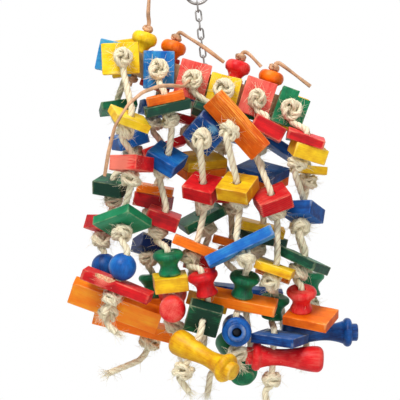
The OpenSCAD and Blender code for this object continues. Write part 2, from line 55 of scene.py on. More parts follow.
# Sizes of the toy in millimetres, as in the part's source
RING_INNER_D = 20
LINK_PITCH = 8.9
LINK_COUNT = 7
CHAIN_LEAN = 6.5
BOARD_H, BOARD_D, BOARD_SLOPE = 22, 20, 17
EYE_INNER_D, EYE_WIRE_D, EYE_AT = 5, 2.4, -4
ROPE_D, KNOT_D, KNOT_L = 6.4, 17, 12
STRING_D, STRING_KNOT_D, STRIP_W = 4, 10, 3.6
STRING_KNOT_L = STRING_KNOT_D * 0.7
HOLE_D = 8
SEAT, LEAD, TURN_CUT = 0.3, 3.5, 2.2
BALL_D = 26
SPOOL_HEAD_D, SPOOL_WAIST_D, SPOOL_FOOT_D, SPOOL_L = 29, 15, 21, 23
SPOOL_HEAD_PART, SPOOL_FOOT_PART = 0.34, 0.14
SPINDLE_L, SPINDLE_END_D, SPINDLE_NECK_D = 74, 25, 16
SPINDLE_COLLAR_D, SPINDLE_TIP_D, SPINDLE_BORE_D = 28, 17, 9
COLLAR_PART, TIP_PART = 0.3, 0.35
NECK_AT, PAST_NECK = 0.68, 0.32
BEAD_D, BEAD_NECK_D, BEAD_H, BEAD_CAP_PART = 25, 12.5, 21, 0.6
KIND = {
    "plate": (36, 30, 8), "wide": (44, 36, 9), "block": (32, 29, 14), "plank": (68, 24, 10),
    "long": (90, 26, 12), "ball": (26, 26, 26), "spool": (29, 29, 23), "spindle": (74, 28, 28),
}
RED, BLUE, YELLOW, GREEN, ORANGE = "red", "blue", "yellow", "green", "orange"
PLATE, WIDE, BLOCK, PLANK, LONG = "plate", "wide", "block", "plank", "long"
BALL, SPOOL, SPINDLE = "ball", "spool", "spindle"
KNOT, OPEN, UNDER = True, False, None

# Rope and string holes along the board, and the plates on it: colour, roll, yaw, shift, tone
ROPE_AT = [-80, -45, -11, 20.5, 53.5, 88]
STRING_AT = [-68, -38.5, 27, 61]
TOP_FRONT = [
    [(BLUE, 12, 0, 8, 0.9), (YELLOW, -3, 0, 3, 0.1)],
    [(BLUE, 1, 90, 0, 0.6)],
    [(RED, 15, 90, 0, 0.8)],
    [(YELLOW, 14, 90, -4, 0.0)],
    [(RED, 18, 90, 2, 0.8)],
    [(GREEN, 20, 90, 2, 0.0)],
]
TOP_BACK = [
    [(YELLOW, -8, 90, -4, 0.0)],
    [(RED, 20, 90, 0, 0.0)],
    [(BLUE, 14, 90, 0, 0.0)],
    [(ORANGE, 18, 90, 2, 0.0)],
    [(GREEN, 15, 90, 0, 0.0)],
    [(YELLOW, 20, 90, 0, 0.0)],
]

# Pieces of each rope from the top down: colour, kind, place of the rope hole, turn as pitch, roll
# and yaw, whether a knot lies below, shift of the hole, and tone from -1, soaked, to 1, faded
FRONT = [
    [
        (YELLOW, PLATE, (-70, -46, -36), (15, 26, 25), KNOT, 0, 0.3),
        (RED, BLOCK, (-68, -40, -78), (-4, 3, -35), KNOT, 0, 0.3),
        (GREEN, WIDE, (-77, -38, -133), (-30, 2, -38), KNOT, 0, 0.5),
        (BLUE, BALL, (-76, -52, -175), (8, 20, 0), OPEN, 0, 0.0),
        (RED, PLANK, UNDER, (8, 20, -6), KNOT, -1, 0.1),
    ],
    [
        (ORANGE, PLATE, (-36, -39, -16), (8, -12, 0), OPEN, 0, 0.0),
        (GREEN, WIDE, UNDER, (8, -12, 4), KNOT, 0, -0.7),
        (BLUE, BLOCK, (-36, -22, -73), (35, 22, -15), KNOT, 0, 0.3),
        (RED, BLOCK, (-39, -15, -130), (10, 20, 0), KNOT, 0, -0.1),
        (GREEN, SPOOL, (-33, -38, -172), (12, -5, 0), OPEN, 0, -0.1),
        (YELLOW, BLOCK, UNDER, (12, -5, 5), OPEN, 0, 0.0),
        (RED, SPINDLE, UNDER, (12, -5, 90), KNOT, -10, 0.5),
    ],
    [
        (GREEN, PLATE, (7, -26, -30), (-10, 22, 0), OPEN, 0, -0.6),
        (BLUE, BLOCK, (2, -42, -49), (-60, 30, 12), KNOT, 0, -0.5),
        (RED, BLOCK, (0, -34, -101), (35, -4, -30), KNOT, 0, 0.0),
        (ORANGE, WIDE, (-8, -24, -157), (0, 22, 0), KNOT, 0, 0.1),
        (RED, SPOOL, (1, -50, -191), (12, -14, 0), OPEN, 0, -0.2),
        (GREEN, BLOCK, (0, -50, -223), (-60, 15, 0), OPEN, 0, -0.9),
        (YELLOW, SPINDLE, (-10, -60, -252), (0, 25, -35), KNOT, -14, -0.5),
    ],
    [
        (ORANGE, PLANK, (31, -55, -42), (-45, 48, 0), KNOT, 0, -0.5),
        (YELLOW, BLOCK, (32, -48, -101), (35, -8, -30), KNOT, 0, -0.3),
        (BLUE, PLANK, (34, -60, -156), (-10, -26, 0), KNOT, 0, 0.6),
        (GREEN, SPOOL, (38, -38, -193), (20, 8, 0), OPEN, 0, -0.3),
        (ORANGE, PLANK, UNDER, (20, 8, -8), OPEN, 0, 0.3),
        (BLUE, SPINDLE, (31, -38, -236), (0, 0, -90), KNOT, 13, -0.2),
    ],
    [
        (RED, BLOCK, (57, -34, -42), (0, 28, 0), KNOT, -5, 0.0),
        (RED, BLOCK, (65, -46, -112), (30, -15, 8), KNOT, 0, 0.4),
        (YELLOW, PLATE, (67, -50, -177), (5, 18, -10), KNOT, 0, 0.0),
        (GREEN, SPOOL, (68, -8, -216), (10, 8, 0), OPEN, 0, -0.1),
        (BLUE, WIDE, (67, -34, -243), (5, 3, -28), OPEN, -6, -0.15),
        (RED, SPINDLE, UNDER, (5, 3, 180), KNOT, 11, 0.2),
    ],
    [
        (RED, PLATE, (96, -50, -54), (10, 18, 0), OPEN, 0, 0.0),
        (YELLOW, BLOCK, UNDER, (10, 18, 12), KNOT, -6, 0.1),
        (BLUE, BLOCK, (95, -28, -124), (-18, 10, -35), KNOT, 0, 0.0),
        (GREEN, WIDE, (95, -28, -170), (2, 24, -30), KNOT, 0, -0.4),
        (RED, SPOOL, (93, -34, -207), (22, 0, 0), OPEN, 0, 0.2),
        (ORANGE, WIDE, UNDER, (22, 0, -25), OPEN, -10, 0.0),
        (BLUE, SPINDLE, (100, -2, -241), (0, 0, 0), KNOT, -13, -0.5),
    ],
]
BACK = [
    [
        (GREEN, PLATE, (-85, 32, -20), (-10, -10, 10), KNOT, 0, 0.0),
        (BLUE, BLOCK, (-74, 32, -52), (10, -15, 20), KNOT, 0, 0.3),
        (GREEN, BLOCK, (-90, 30, -98), (20, 0, -25), KNOT, 0, -0.7),
        (RED, BLOCK, (-98, 30, -138), (-10, 15, 30), KNOT, 0, 0.2),
        (BLUE, BALL, (-98, 24, -178), (0, 0, 0), OPEN, 0, -0.5),
        (ORANGE, LONG, (-88, -21, -212), (-55, 20, 0), KNOT, -4, 0.6),
    ],
    [
        (BLUE, BLOCK, (-47, 30, -22), (0, 10, 10), KNOT, 0, 0.1),
        (RED, WIDE, (-40, 34, -60), (0, -20, 5), KNOT, 0, 0.1),
        (ORANGE, PLATE, (-48, 32, -102), (5, 10, 0), OPEN, 0, 0.2),
        (RED, BLOCK, UNDER, (5, 10, -20), KNOT, 0, -0.2),
        (BLUE, BLOCK, (-52, 30, -158), (-20, 10, 20), KNOT, 0, -0.8),
        (GREEN, SPOOL, (-50, 28, -198), (0, 0, 0), OPEN, 0, 0.1),
        (ORANGE, PLANK, UNDER, (0, 0, 10), OPEN, 4, 0.0),
        (ORANGE, LONG, (-50, 12, -240), (8, 14, 0), KNOT, 14, 0.6),
    ],
    [
        (RED, PLATE, (-11, 34, -34), (0, 15, 0), KNOT, 0, 0.0),
        (YELLOW, WIDE, (-4, 20, -73), (20, 3, 30), OPEN, 0, 0.0),
        (ORANGE, WIDE, UNDER, (20, 3, 28), KNOT, 0, 0.1),
        (GREEN, WIDE, (-2, 22, -130), (15, -25, 10), KNOT, 0, -0.2),
        (RED, BLOCK, (-3, 30, -173), (10, 12, 0), KNOT, 0, -0.2),
        (YELLOW, BLOCK, (4, 30, -214), (0, 15, 30), KNOT, 0, 0.0),
    ],
    [
        (BLUE, PLATE, (23, 34, -48), (0, 20, 0), KNOT, 0, 0.2),
        (RED, BLOCK, (28, 34, -106), (10, 0, 0), KNOT, 0, 0.0),
        (ORANGE, PLATE, (27, 36, -155), (0, 15, 0), KNOT, 0, 0.1),
        (BLUE, PLANK, (44, 17, -203), (5, 6, 0), KNOT, 0, 0.1),
        (GREEN, SPINDLE, (32, 14, -268), (0, 60, -60), KNOT, 0, -0.1),
    ],
    [
        (BLUE, PLANK, (60, 31, -50), (-8, 33, 0), KNOT, 0, -0.1),
        (BLUE, WIDE, (58, 22, -84), (20, 5, -30), OPEN, 0, -0.1),
        (ORANGE, WIDE, UNDER, (20, 5, -28), KNOT, 0, 0.0),
        (YELLOW, WIDE, (58, 18, -140), (5, 14, 0), OPEN, 0, 0.2),
        (GREEN, WIDE, UNDER, (5, 14, 35), KNOT, 0, -0.7),
        (ORANGE, PLATE, (70, 34, -184), (10, 20, 0), KNOT, 0, 0.1),
    ],
    [
        (GREEN, PLATE, (101, 34, -51), (0, 10, 0), KNOT, 0, 0.1),
        (YELLOW, PLATE, (105, 38, -82), (0, 5, 0), KNOT, 0, 0.2),
        (RED, BLOCK, (98, 32, -126), (0, 10, 15), KNOT, 0, 0.3),
        (GREEN, SPOOL, (106, 30, -196), (0, 0, 0), KNOT, 0, 0.0),
    ],
]
FRONT_TAIL = [
    [(-94, -50, -220)],
    [(-26, -24, -250), (-22, -26, -262)],
    [(-24, -59, -277), (-14, -58, -291)],
    [(34, -40, -268)],
    [(58, -30, -292), (60, -32, -306)],
    [(98, -2, -270)],
]
BACK_TAIL = [
    [(-90, -46, -231), (-82, -48, -237)],
    [(-62, 14, -270), (-92, 0, -281)],
    [(2, 30, -240), (0, 28, -258)],
    [(6, 14, -292), (4, 14, -302)],
    [(78, 40, -214), (80, 38, -240)],
    [(98, 32, -234), (94, 32, -250)],
]
STRING_TAIL = [
    [(-54, -4, 66), (-52, -6, 95)],
    [(-16, -8, 46), (0, -10, 36), (20, -8, 21)],
    [(44, -5, 30), (56, -6, 17)],
    [(82, -3, 15), (104, -4, -2)],
]
STRIP_ROUTE = [(-14, -30.8, 1), (-14, -35, 0.6), (-20, -48, -6), (-30, -56, -5), (-42, -57, -6),
               (-57, -62, -12), (-70, -70, -24), (-82, -72, -44), (-88, -70, -68), (-92, -66, -90)]
# Each side of the toy: pieces of the ropes, plates on the board, and the ropes' tails
SIDES = {-1: (FRONT, TOP_FRONT, FRONT_TAIL), 1: (BACK, TOP_BACK, BACK_TAIL)}


def linear(code):
    """A web colour as linear light."""
    values = [int(code[i:i + 2], 16) / 255 for i in (1, 3, 5)]
    return tuple(v / 12.92 if v <= 0.04045 else ((v + 0.055) / 1.055) ** 2.4 for v in values)


# Rope side, rope and row of the pieces with a rubbed spot: its middle on the piece and its radius
SCUFFS = {(-1, 2, 1): ((2, -11, -7), 5), (-1, 0, 4): ((-12, -10, 5), 9),
          (-1, 0, 1): ((-6, -14.5, 0), 22), (-1, 3, 0): ((-8, -34, 22), 42)}
# Pieces that the saw left rough
ROUGH = {(-1, 4, 1): 1.0, (1, 0, 3): 0.5, (1, 4, 5): 0.4}

# Soaked, plain and faded dye of each colour
DYES = {
    RED: ("#8c0a14", "#dc161c", "#ee7464"),
    BLUE: ("#08265c", "#1060b2", "#3b9fd2"),
    YELLOW: ("#c9820a", "#fad11a", "#fbe27a"),
    GREEN: ("#053325", "#117c4e", "#41a07a"),
    ORANGE: ("#c94a04", "#fa7a08", "#fda626"),
}


def colour_of(name, code, words):
    return FloatVectorProperty(
        name=name, description=words, default=linear(code), size=3, min=0, max=1, subtype="COLOR")


class ToySizes(bpy.types.PropertyGroup):
    rope_width: FloatProperty(
        name="Rope width", description="Width across the strands of the knotted rope",
        default=ROPE_D * MM, min=0.004, max=0.0076, unit="LENGTH")
    rope_pitch: FloatProperty(
        name="Rope lay", description="Length of rope in which a strand goes once round",
        default=0.024, min=0.01, max=0.06, unit="LENGTH")
    knot_width: FloatProperty(
        name="Knot width", description="Width of a knot across the rope",
        default=KNOT_D * MM, min=0.013, max=0.02, unit="LENGTH")
    string_width: FloatProperty(
        name="String width", description="Width of the thin strings at the top",
        default=STRING_D * MM, min=0.003, max=0.005, unit="LENGTH")
    edge_round: FloatProperty(
        name="Edge rounding", description="How far the sanded edges of the wood are rounded",
        default=0.0006, min=0.0002, max=0.002, unit="LENGTH")
    fibre_length: FloatProperty(
        name="Fibre length", description="Longest loose fibre of the rope",
        default=0.0105, min=0.001, max=0.02, unit="LENGTH")
    fibre_density: FloatProperty(
        name="Fibre density", description="Loose fibres on a square metre of rope",
        default=42000, min=0, max=80000)


class ToyFinishes(bpy.types.PropertyGroup):
    sisal: colour_of("Sisal", "#fbe8c8", "Colour of the clean rope fibres")
    # Darker fibres and patches of the rope, and painted shade in the grooves between the strands
    sisal_dark_and_groove_shade: colour_of("Sisal shade", "#bd9272", "Colour between the strands")
    leather: colour_of("Leather", "#d0a078", "Colour of the strings and the strip")
    steel: colour_of("Steel", "#8f8b88", "Colour of the chain, ring and screw eye")
    pine: colour_of("Pine", "#dcb480", "Colour of the bare top board")
    saw_depth: FloatProperty(
        name="Saw marks", description="Depth of the marks that the saw left",
        default=0.0002, min=0, max=0.001, unit="LENGTH")
    seed: IntProperty(
        name="Grain seed", description="Number that sets the grain and the loose fibres",
        default=7, min=0, max=999)


# ---------------------------------------------------------------- places and routes


def turned(turn):
    pitch, roll, yaw = (math.radians(a) for a in turn)
    return (Matrix.Rotation(roll, 3, "Y") @ Matrix.Rotation(pitch, 3, "X")
            @ Matrix.Rotation(yaw, 3, "Z"))


def down(turn):
    return turned((turn[0], turn[1], 0)) @ Vector((0, 0, -1))


def thick(row):
    return KIND[row[1]][2]


def place(rows, k):
    """Middle of a rope hole: its own place, or right under the piece above it."""
    if rows[k][2] is not UNDER:
        return Vector(rows[k][2])
    above = rows[k - 1]
    return place(rows, k - 1) + down(above[3]) * (thick(above) / 2 + SEAT + thick(rows[k]) / 2)


BOARD_DIR = turned((0, BOARD_SLOPE, 0)) @ Vector((1, 0, 0))
BOARD_UP = turned((0, BOARD_SLOPE, 0)) @ Vector((0, 0, 1))
CHAIN_DIR = Vector((math.sin(math.radians(CHAIN_LEAN)), 0, -math.cos(math.radians(CHAIN_LEAN))))
MIDDLE = (Vector((0, 0, -RING_INNER_D + SEAT)) + CHAIN_DIR * LINK_COUNT * LINK_PITCH
          - Vector((0, 0, EYE_INNER_D / 2))
          - BOARD_UP * (EYE_INNER_D / 2 + EYE_WIRE_D + BOARD_H / 2) - BOARD_DIR * EYE_AT)
BOARD_FRAME = Matrix.Translation(MIDDLE) @ Matrix.Rotation(math.radians(BOARD_SLOPE), 4, "Y")
# Steps in metres at which ropes and strings are cut, and rounds in which bends are drawn round
ROPE_STEP, ROPE_ROUNDS = 0.0013, 7
STRING_STEP, STRING_ROUNDS, STRIP_ROUNDS = 0.0012, 6, 10


def hole_place(i):
    return BOARD_DIR * ROPE_AT[i]


def top_knot_place(i, side, plates):
    out = BOARD_D / 2 + len(plates) * (KIND[PLATE][2] + SEAT) + SEAT + KNOT_L / 2
    return hole_place(i) + Vector((0, side * out, 0))


def soften(points):
    """Cuts each bend of a route in two."""
    out = [points[0]]
    for i in range(1, len(points) - 1):
        for other in (points[i - 1], points[i + 1]):
            way = other - points[i]
            out.append(points[i] + way.normalized() * min(TURN_CUT, way.length / 3))
    return out + [points[-1]]


def rope_route(i, side):
    rows, plates, tail = (table[i] for table in SIDES[side])
    top = top_knot_place(i, side, plates)
    points = [top - Vector((0, 0, KNOT_D / 2 + LEAD))]
    for k, row in enumerate(rows):
        under_next = k + 1 < len(rows) and rows[k + 1][2] is UNDER
        way = down(row[3])
        if row[2] is not UNDER:
            points.append(place(rows, k) - way * (thick(row) / 2 + LEAD))
        if not under_next:
            knot = SEAT + KNOT_L if row[4] else 0
            points.append(place(rows, k) + way * (thick(row) / 2 + LEAD + knot))
    return [hole_place(i), top] + soften(points + [Vector(p) for p in tail])


def string_route(i):
    foot = BOARD_DIR * STRING_AT[i]
    under = BOARD_H / 2 + SEAT + STRING_KNOT_L
    over = BOARD_H / 2 + BEAD_H + 2 * SEAT + STRING_KNOT_L
    return [foot - BOARD_UP * (under + STRING_D)] + soften(
        [foot, foot + BOARD_UP * (over + LEAD)] + [Vector(p) for p in STRING_TAIL[i]])


def smooth_route(points, step, rounds):
    """The route in metres in the row frame, cut into even steps and drawn round at its bends."""
    points = [(Vector(p) + MIDDLE) * MM for p in points]
    even = [points[0]]
    for a, b in zip(points, points[1:]):
        count = max(1, round((b - a).length / step))
        even += [a.lerp(b, k / count) for k in range(1, count + 1)]
    for _ in range(rounds):
        even = [even[0]] + [
            even[i] * 0.5 + (even[i - 1] + even[i + 1]) * 0.25 for i in range(1, len(even) - 1)
        ] + [even[-1]]
    return even


def rope_line(i, side):
    return smooth_route(rope_route(i, side), ROPE_STEP, ROPE_ROUNDS)


# ---------------------------------------------------------------- meshes of the wooden pieces


# Place in a rubbed spot's own units for the pieces that have none
FAR = Vector((99, 99, 99))
# The wood's slight unevenness in millimetres, the share of it on turned pieces, how close its
# waves are, and its seed, without which Blender takes one from the clock
UNEVEN, UNEVEN_TURNED, UNEVEN_SCALE, UNEVEN_SEED = 0.22, 0.3, 0.06, 8
# How much darker end grain is, from soaked dye and from painted shade, how much painted shade the
# long sides get, and how square to it a face has to lie
END_GRAIN_DYE_AND_SHADE, SIDE_PAINTED_SHADE, SQUARE_ON = 1.0, 0.6, 0.9
# Points round a sanded face: degrees turned at a corner, its sharpest radius, how rubbed it is,
# and the places along a side; then the flat band at the rim of the hole and at the edges
CORNER_TURNS, SHARPEST, CORNER_WEAR = (0, 30, 60, 90), 0.15, 0.9
SIDE_POINTS = (0.06, 0.2, 0.35, 0.5, 0.65, 0.8, 0.94)
BAND = 2.4


def linked(name, data):
    """A new object of the scene with the given data."""
    obj = bpy.data.objects.new(name, data)
    bpy.context.collection.objects.link(obj)
    return obj


def plain_mesh(obj):
    """A mesh of its own from an object and its modifiers."""
    bpy.context.view_layer.update()
    evaluated = obj.evaluated_get(bpy.context.evaluated_depsgraph_get())
    return bpy.data.meshes.new_from_object(evaluated)


class Woodwork:
    """Gathers the pieces of one node: points, faces, and what the grain, the dye and the painted
    shade follow.
    """

    def __init__(self):
        noise.seed_set(UNEVEN_SEED)
        self.points, self.faces = [], []
        self.grain, self.wear, self.tone, self.ends = [], [], [], []
        self.lathe, self.scuff, self.saw = [], [], []

    def add_rings(self, rings, matrix, tone, seed, closed_side, lathe, local=None, spot=None,
                  saw=0.0):
        """Rings of points with equal counts, each joined to the next; faces point outwards."""
        first = len(self.points)
        count = len(rings[0][0])
        for r, (ring, wear) in enumerate(rings):
            for j, p in enumerate(ring):
                q = Vector(local[r][j]) if local else Vector(p)
                shake = noise.noise_vector(q * UNEVEN_SCALE + Vector((seed, seed * 2, 0)))
                shake = shake * UNEVEN * (UNEVEN_TURNED if lathe else 1)
                self.points.append((matrix @ (Vector(p) + shake)) * MM)
                self.grain.append(q * MM + Vector((seed * 0.37, seed * 0.11, seed * 0.05)))
                self.wear.append(wear[j] if isinstance(wear, list) else wear)
                self.tone.append(tone)
                self.scuff.append((q - Vector(spot[0])) / spot[1] if spot else FAR)
                self.saw.append(saw)
        last = len(rings) if closed_side else len(rings) - 1
        for r in range(last):
            a, b = first + r * count, first + (r + 1) % len(rings) * count
            for j in range(count):
                k = (j + 1) % count
                self.faces.append((a + j, a + k, b + k, b + j))
                side = Vector(rings[r][0][j]) - Vector(rings[(r + 1) % len(rings)][0][j])
                along = Vector(rings[r][0][k]) - Vector(rings[r][0][j])
                face = side.cross(along)
                face = face.normalized() if face.length > 0 else face
                # Painted shade: faces square to the width are painted darker; end grain is darkened
                # for soaked dye and painted shade together
                dark = SIDE_PAINTED_SHADE if abs(face.y) > SQUARE_ON else 0.0
                dark = END_GRAIN_DYE_AND_SHADE if abs(face.x) > SQUARE_ON else dark
                self.ends.append(0.0 if lathe else dark)
                self.lathe.append(1.0 if lathe else 0.0)
        if not closed_side:
            self.cap(first, count, True, lathe)
            self.cap(first + (len(rings) - 1) * count, count, False, lathe)

    def cap(self, first, count, low, lathe):
        loop = list(range(first, first + count))
        self.faces.append(tuple(reversed(loop)) if low else tuple(loop))
        self.ends.append(0.0)
        self.lathe.append(1.0 if lathe else 0.0)

    def build(self, name, material):
        mesh = bpy.data.meshes.new(name)
        mesh.from_pydata([tuple(p) for p in self.points], [], self.faces)
        for label, values in (("wear", self.wear), ("tone", self.tone), ("saw", self.saw)):
            mesh.attributes.new(label, "FLOAT", "POINT").data.foreach_set("value", values)
        for label, values in (("grain", self.grain), ("scuff", self.scuff)):
            flat = [c for p in values for c in p]
            mesh.attributes.new(label, "FLOAT_VECTOR", "POINT").data.foreach_set("vector", flat)
        for label, values in (("ends", self.ends), ("lathe", self.lathe)):
            mesh.attributes.new(label, "FLOAT", "FACE").data.foreach_set("value", values)
        mesh.polygons.foreach_set("use_smooth", [v > 0.5 for v in self.lathe])
        mesh.materials.append(material)
        mesh.update()
        return linked(name, mesh)


def outline(length, width, inset, round_by):
    """Points round a sanded rectangle, corner by corner, with a flag on the corners' points."""
    hx, hy = length / 2 - inset, width / 2 - inset
    r = max(SHARPEST, round_by - inset)
    corners = ((1, -1), (1, 1), (-1, 1), (-1, -1))
    points, flags = [], []
    for q, (sx, sy) in enumerate(corners):
        for turn in CORNER_TURNS:
            t = math.radians(-90 + 90 * q + turn)
            points.append((sx * (hx - r) + r * math.cos(t), sy * (hy - r) + r * math.sin(t)))
            flags.append(1.0)
        nx, ny = corners[(q + 1) % 4]
        here = Vector(points[-1])
        there = Vector((nx * (hx - (r if q % 2 else 0)), ny * (hy - (0 if q % 2 else r))))
        for share in SIDE_POINTS:
            points.append(tuple(here.lerp(there, share)))
            flags.append(0.0)
    return points, flags


def sawn_piece(work, size, shift, matrix, tone, seed, edge, mark=None):
    """A block or board with sanded edges and a rope hole whose rim is rubbed round."""
    length, width, height = size
    h, r = height / 2, HOLE_D / 2
    turns = [math.atan2(y, x - shift) for x, y in outline(length, width, 0, edge * 2)[0]]

    def rectangle(inset, z, wear):
        points, flags = outline(length, width, inset, edge * 2)
        return ([(x - shift, y, z) for x, y in points],
                [max(wear, flag * CORNER_WEAR) for flag in flags])

    def circle(radius, z, wear):
        return [(radius * math.cos(t), radius * math.sin(t), z) for t in turns], wear

    def half(side):
        """Rings and their wear, from inside the hole over one face to below its edge."""
        return [
            circle(r, side * (h - 0.7), 0.3), circle(r + 0.2, side * (h - 0.2), 0.8),
            circle(r + 0.8, side * h, 0.5), circle(r + BAND, side * h, 0.0),
            rectangle(BAND, side * h, 0.0), rectangle(edge, side * h, 0.7),
            rectangle(edge * 0.3, side * (h - edge * 0.3), 1.0),
            rectangle(0, side * (h - edge), 0.7), rectangle(0, side * (h - edge - 1.6), 0.0)]

    low = half(-1)
    rings = low[:1] + half(1) + low[:0:-1]
    work.add_rings(rings[::-1], matrix, tone, seed, True, False, None, SCUFFS.get(mark),
                   ROUGH.get(mark, 0.0))


def lathe_piece(work, profile, matrix, tone, seed, bored, along_x=False, steps=48):
    """A turned piece from its profile: radius, height and wear, from the foot up; negative wear is
    painted shade.
    """
    rings, local = [], []
    for radius, z, wear in profile:
        ring, own = [], []
        for j in range(steps):
            t = 2 * math.pi * j / steps
            x, y = radius * math.cos(t), radius * math.sin(t)
            ring.append((z, x, y) if along_x else (x, y, z))
            own.append((z, x, y))
        rings.append((ring, wear))
        local.append(own)
    work.add_rings(rings, matrix, tone, seed, bored, True, local)


def gouge_tool(frame_of, at, radius, seed, turn, material):
    """A rough ball that is cut out of a piece, with ridges as from a beak."""
    form = bmesh.new()
    bmesh.ops.create_icosphere(form, subdivisions=4, radius=radius)
    for vertex in form.verts:
        p = vertex.co
        ridge = math.sin(p.x * 2.4 + p.y * 1.1 + turn * 5) * 0.22
        rough = noise.noise(p * 0.5 + Vector((seed, 0, 0))) * 0.9 + noise.noise(p * 1.7) * 0.35
        vertex.co = (frame_of @ (at + p * (1 + (ridge + rough) / radius))) * MM
    mesh = bpy.data.meshes.new("gouge_tool")
    form.to_mesh(mesh)
    form.free()
    mesh.materials.append(material)
    return linked("gouge_tool", mesh)


def cut_out(obj, tool, frame_of, tone, spot):
    """Cuts a tool out of an object; new points get the grain of the piece whose frame is given."""
    cut = obj.modifiers.new("cut", "BOOLEAN")
    cut.operation, cut.solver, cut.material_mode = "DIFFERENCE", "EXACT", "TRANSFER"
    cut.object = tool
    mesh = plain_mesh(obj)
    result = linked(obj.name + "_cut", mesh)
    drop(tool)
    drop(obj)
    back = frame_of.inverted()
    grain, tones, scuff = (mesh.attributes[k].data for k in ("grain", "tone", "scuff"))
    for vertex in mesh.vertices:
        if Vector(grain[vertex.index].vector).length < 1e-9:
            q = back @ (vertex.co / MM)
            grain[vertex.index].vector = q * MM
            scuff[vertex.index].vector = (q - Vector(spot[0])) / spot[1] if spot else FAR
            tones[vertex.index].value = tone
    return result


# The profiles below list radius, height and wear, negative wear being painted shade in a bore;
# their small numbers are rims in millimetres


def arc(x, z, rx, rz, start, end, steps, wear):
    """Points of a profile on an arc from start to end in degrees."""
    out = []
    for k in range(steps + 1):
        t = math.radians(start + (end - start) * k / steps)
        out.append((x + rx * math.cos(t), z + rz * math.sin(t), wear))
    return out


def ball_profile():
    r, bore = BALL_D / 2, HOLE_D / 2
    a = math.degrees(math.asin(bore / r))
    z = r * math.cos(math.radians(a))
    return ([(bore, z, 0.6), (bore, z - 2, 0.2), (bore, 2 - z, 0.2), (bore, -z, 0.6)]
            + arc(0, 0, r, r, a - 90 + 2, 90 - a - 2, 22, 0.0))


def spool_profile():
    head_h, foot_h = SPOOL_L * SPOOL_HEAD_PART, SPOOL_L * SPOOL_FOOT_PART
    waist_h = SPOOL_L - head_h - foot_h
    head_r, waist_r, foot_r = SPOOL_HEAD_D / 2, SPOOL_WAIST_D / 2, SPOOL_FOOT_D / 2
    low, bore = -SPOOL_L / 2, HOLE_D / 2
    points = [(bore, -low - 0.8, 0.3), (bore, low + 0.8, 0.3), (bore + 0.6, low, 0.7),
              (foot_r - 1.4, low, 0.1), (foot_r - 0.4, low + 0.3, 0.8), (foot_r, low + 1.2, 0.7),
              (foot_r, low + foot_h - 0.6, 0.5), (foot_r - 0.5, low + foot_h, 0.3)]
    for k in range(1, 16):
        s = k / 16
        radius = (waist_r + (foot_r - waist_r) * (1 - s) ** 3
                  + (head_r * 0.86 - waist_r) * s ** 3)
        points.append((radius, low + foot_h + waist_h * s, 0.0))
    points += arc(head_r - head_h / 2, -low - head_h / 2, head_h / 2, head_h / 2, -60, 90, 16, 0.15)
    points += [(bore + 2.5, -low, 0.1), (bore + 0.7, -low, 0.7)]
    return points


def spindle_profile(bored):
    end_r, neck_r = SPINDLE_END_D / 2, SPINDLE_NECK_D / 2
    collar_r, tip_r = SPINDLE_COLLAR_D / 2, SPINDLE_TIP_D / 2
    collar_w, tip_l = SPINDLE_COLLAR_D * COLLAR_PART, SPINDLE_TIP_D * TIP_PART
    body_l = SPINDLE_L - collar_w - tip_l
    start = end_r * 0.5
    points = [(0.4, 0, 0.0), (end_r * 0.25, 0, 0.1)]
    points += arc(end_r / 2, start, end_r / 2, start, -88, 0, 12, 0.25)
    for k in range(1, 25):
        s = k / 24
        if s < NECK_AT:
            radius = end_r + (neck_r - end_r) * (1 - math.cos(math.pi * s / NECK_AT)) / 2
        else:
            radius = neck_r + (collar_r * 0.8 - neck_r) * ((s - NECK_AT) / PAST_NECK) ** 2
        points.append((radius, start + (body_l - start) * s, 0.0))
    points += arc(collar_r - collar_w / 2, body_l + collar_w / 2, collar_w / 2, collar_w / 2,
                  -60, 80, 14, 0.2)
    points += [(tip_r + 0.2, body_l + collar_w, 0.0), (tip_r, body_l + collar_w + 0.5, 0.0),
               (tip_r, SPINDLE_L - 1.4, 0.6), (tip_r - 0.4, SPINDLE_L - 0.5, 1.0),
               (tip_r - 1.3, SPINDLE_L, 0.8)]
    if bored:
        bore = SPINDLE_BORE_D / 2
        deep = SPINDLE_L - SPINDLE_BORE_D
        # The bore's deep points carry negative wear: painted shade
        points += [(bore + 0.7, SPINDLE_L, 0.6), (bore, SPINDLE_L - 0.7, 0.4),
                   (bore, deep + 0.6, -1.0), (bore * 0.5, deep, -1.0), (0.4, deep, -1.0)]
    else:
        points += [(tip_r * 0.5, SPINDLE_L, 0.1), (0.4, SPINDLE_L, 0.0)]
    return points


def bead_profile():
    cap_h = BEAD_H * BEAD_CAP_PART
    edge = cap_h * 0.4
    neck_r, bore = BEAD_NECK_D / 2, (STRING_D + 2 * SEAT) / 2
    points = [(bore, BEAD_H - 0.6, 0.2), (bore, 0.6, 0.2), (neck_r, 0, 0.2),
              (neck_r + 0.6, 0.4, 0.5), (neck_r, BEAD_H * 0.1, 0.2)]
    for k in range(10):
        s = k / 11
        points.append((neck_r + (BEAD_D * 0.42 - neck_r) * s * s,
                       BEAD_H * (0.14 + 0.36 * s), 0.0))
    points += arc(BEAD_D / 2 - edge, BEAD_H - cap_h / 2, edge, cap_h / 2, -40, 88, 18, 0.1)
    points += [(bore + 2.5, BEAD_H, 0.2), (bore + 0.6, BEAD_H, 0.6)]
    return points


def world_of(rows, k):
    return Matrix.Translation(MIDDLE + place(rows, k)) @ turned(rows[k][3]).to_4x4()


def rows_of(shade, kinds):
    """Seed, rows, number in the rows and mark of every piece of one colour and some kinds."""
    for side, (ropes, _, _) in SIDES.items():
        for i, rows in enumerate(ropes):
            for k, row in enumerate(rows):
                if row[0] == shade and row[1] in kinds:
                    yield 41 + side * 40 + i * 11 + k, rows, k, (side, i, k)


def finish_piece(obj, slot, *nodes):
    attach(obj, "root")
    if nodes:
        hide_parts(*nodes)
    return obj


# ---------------------------------------------------------------- materials


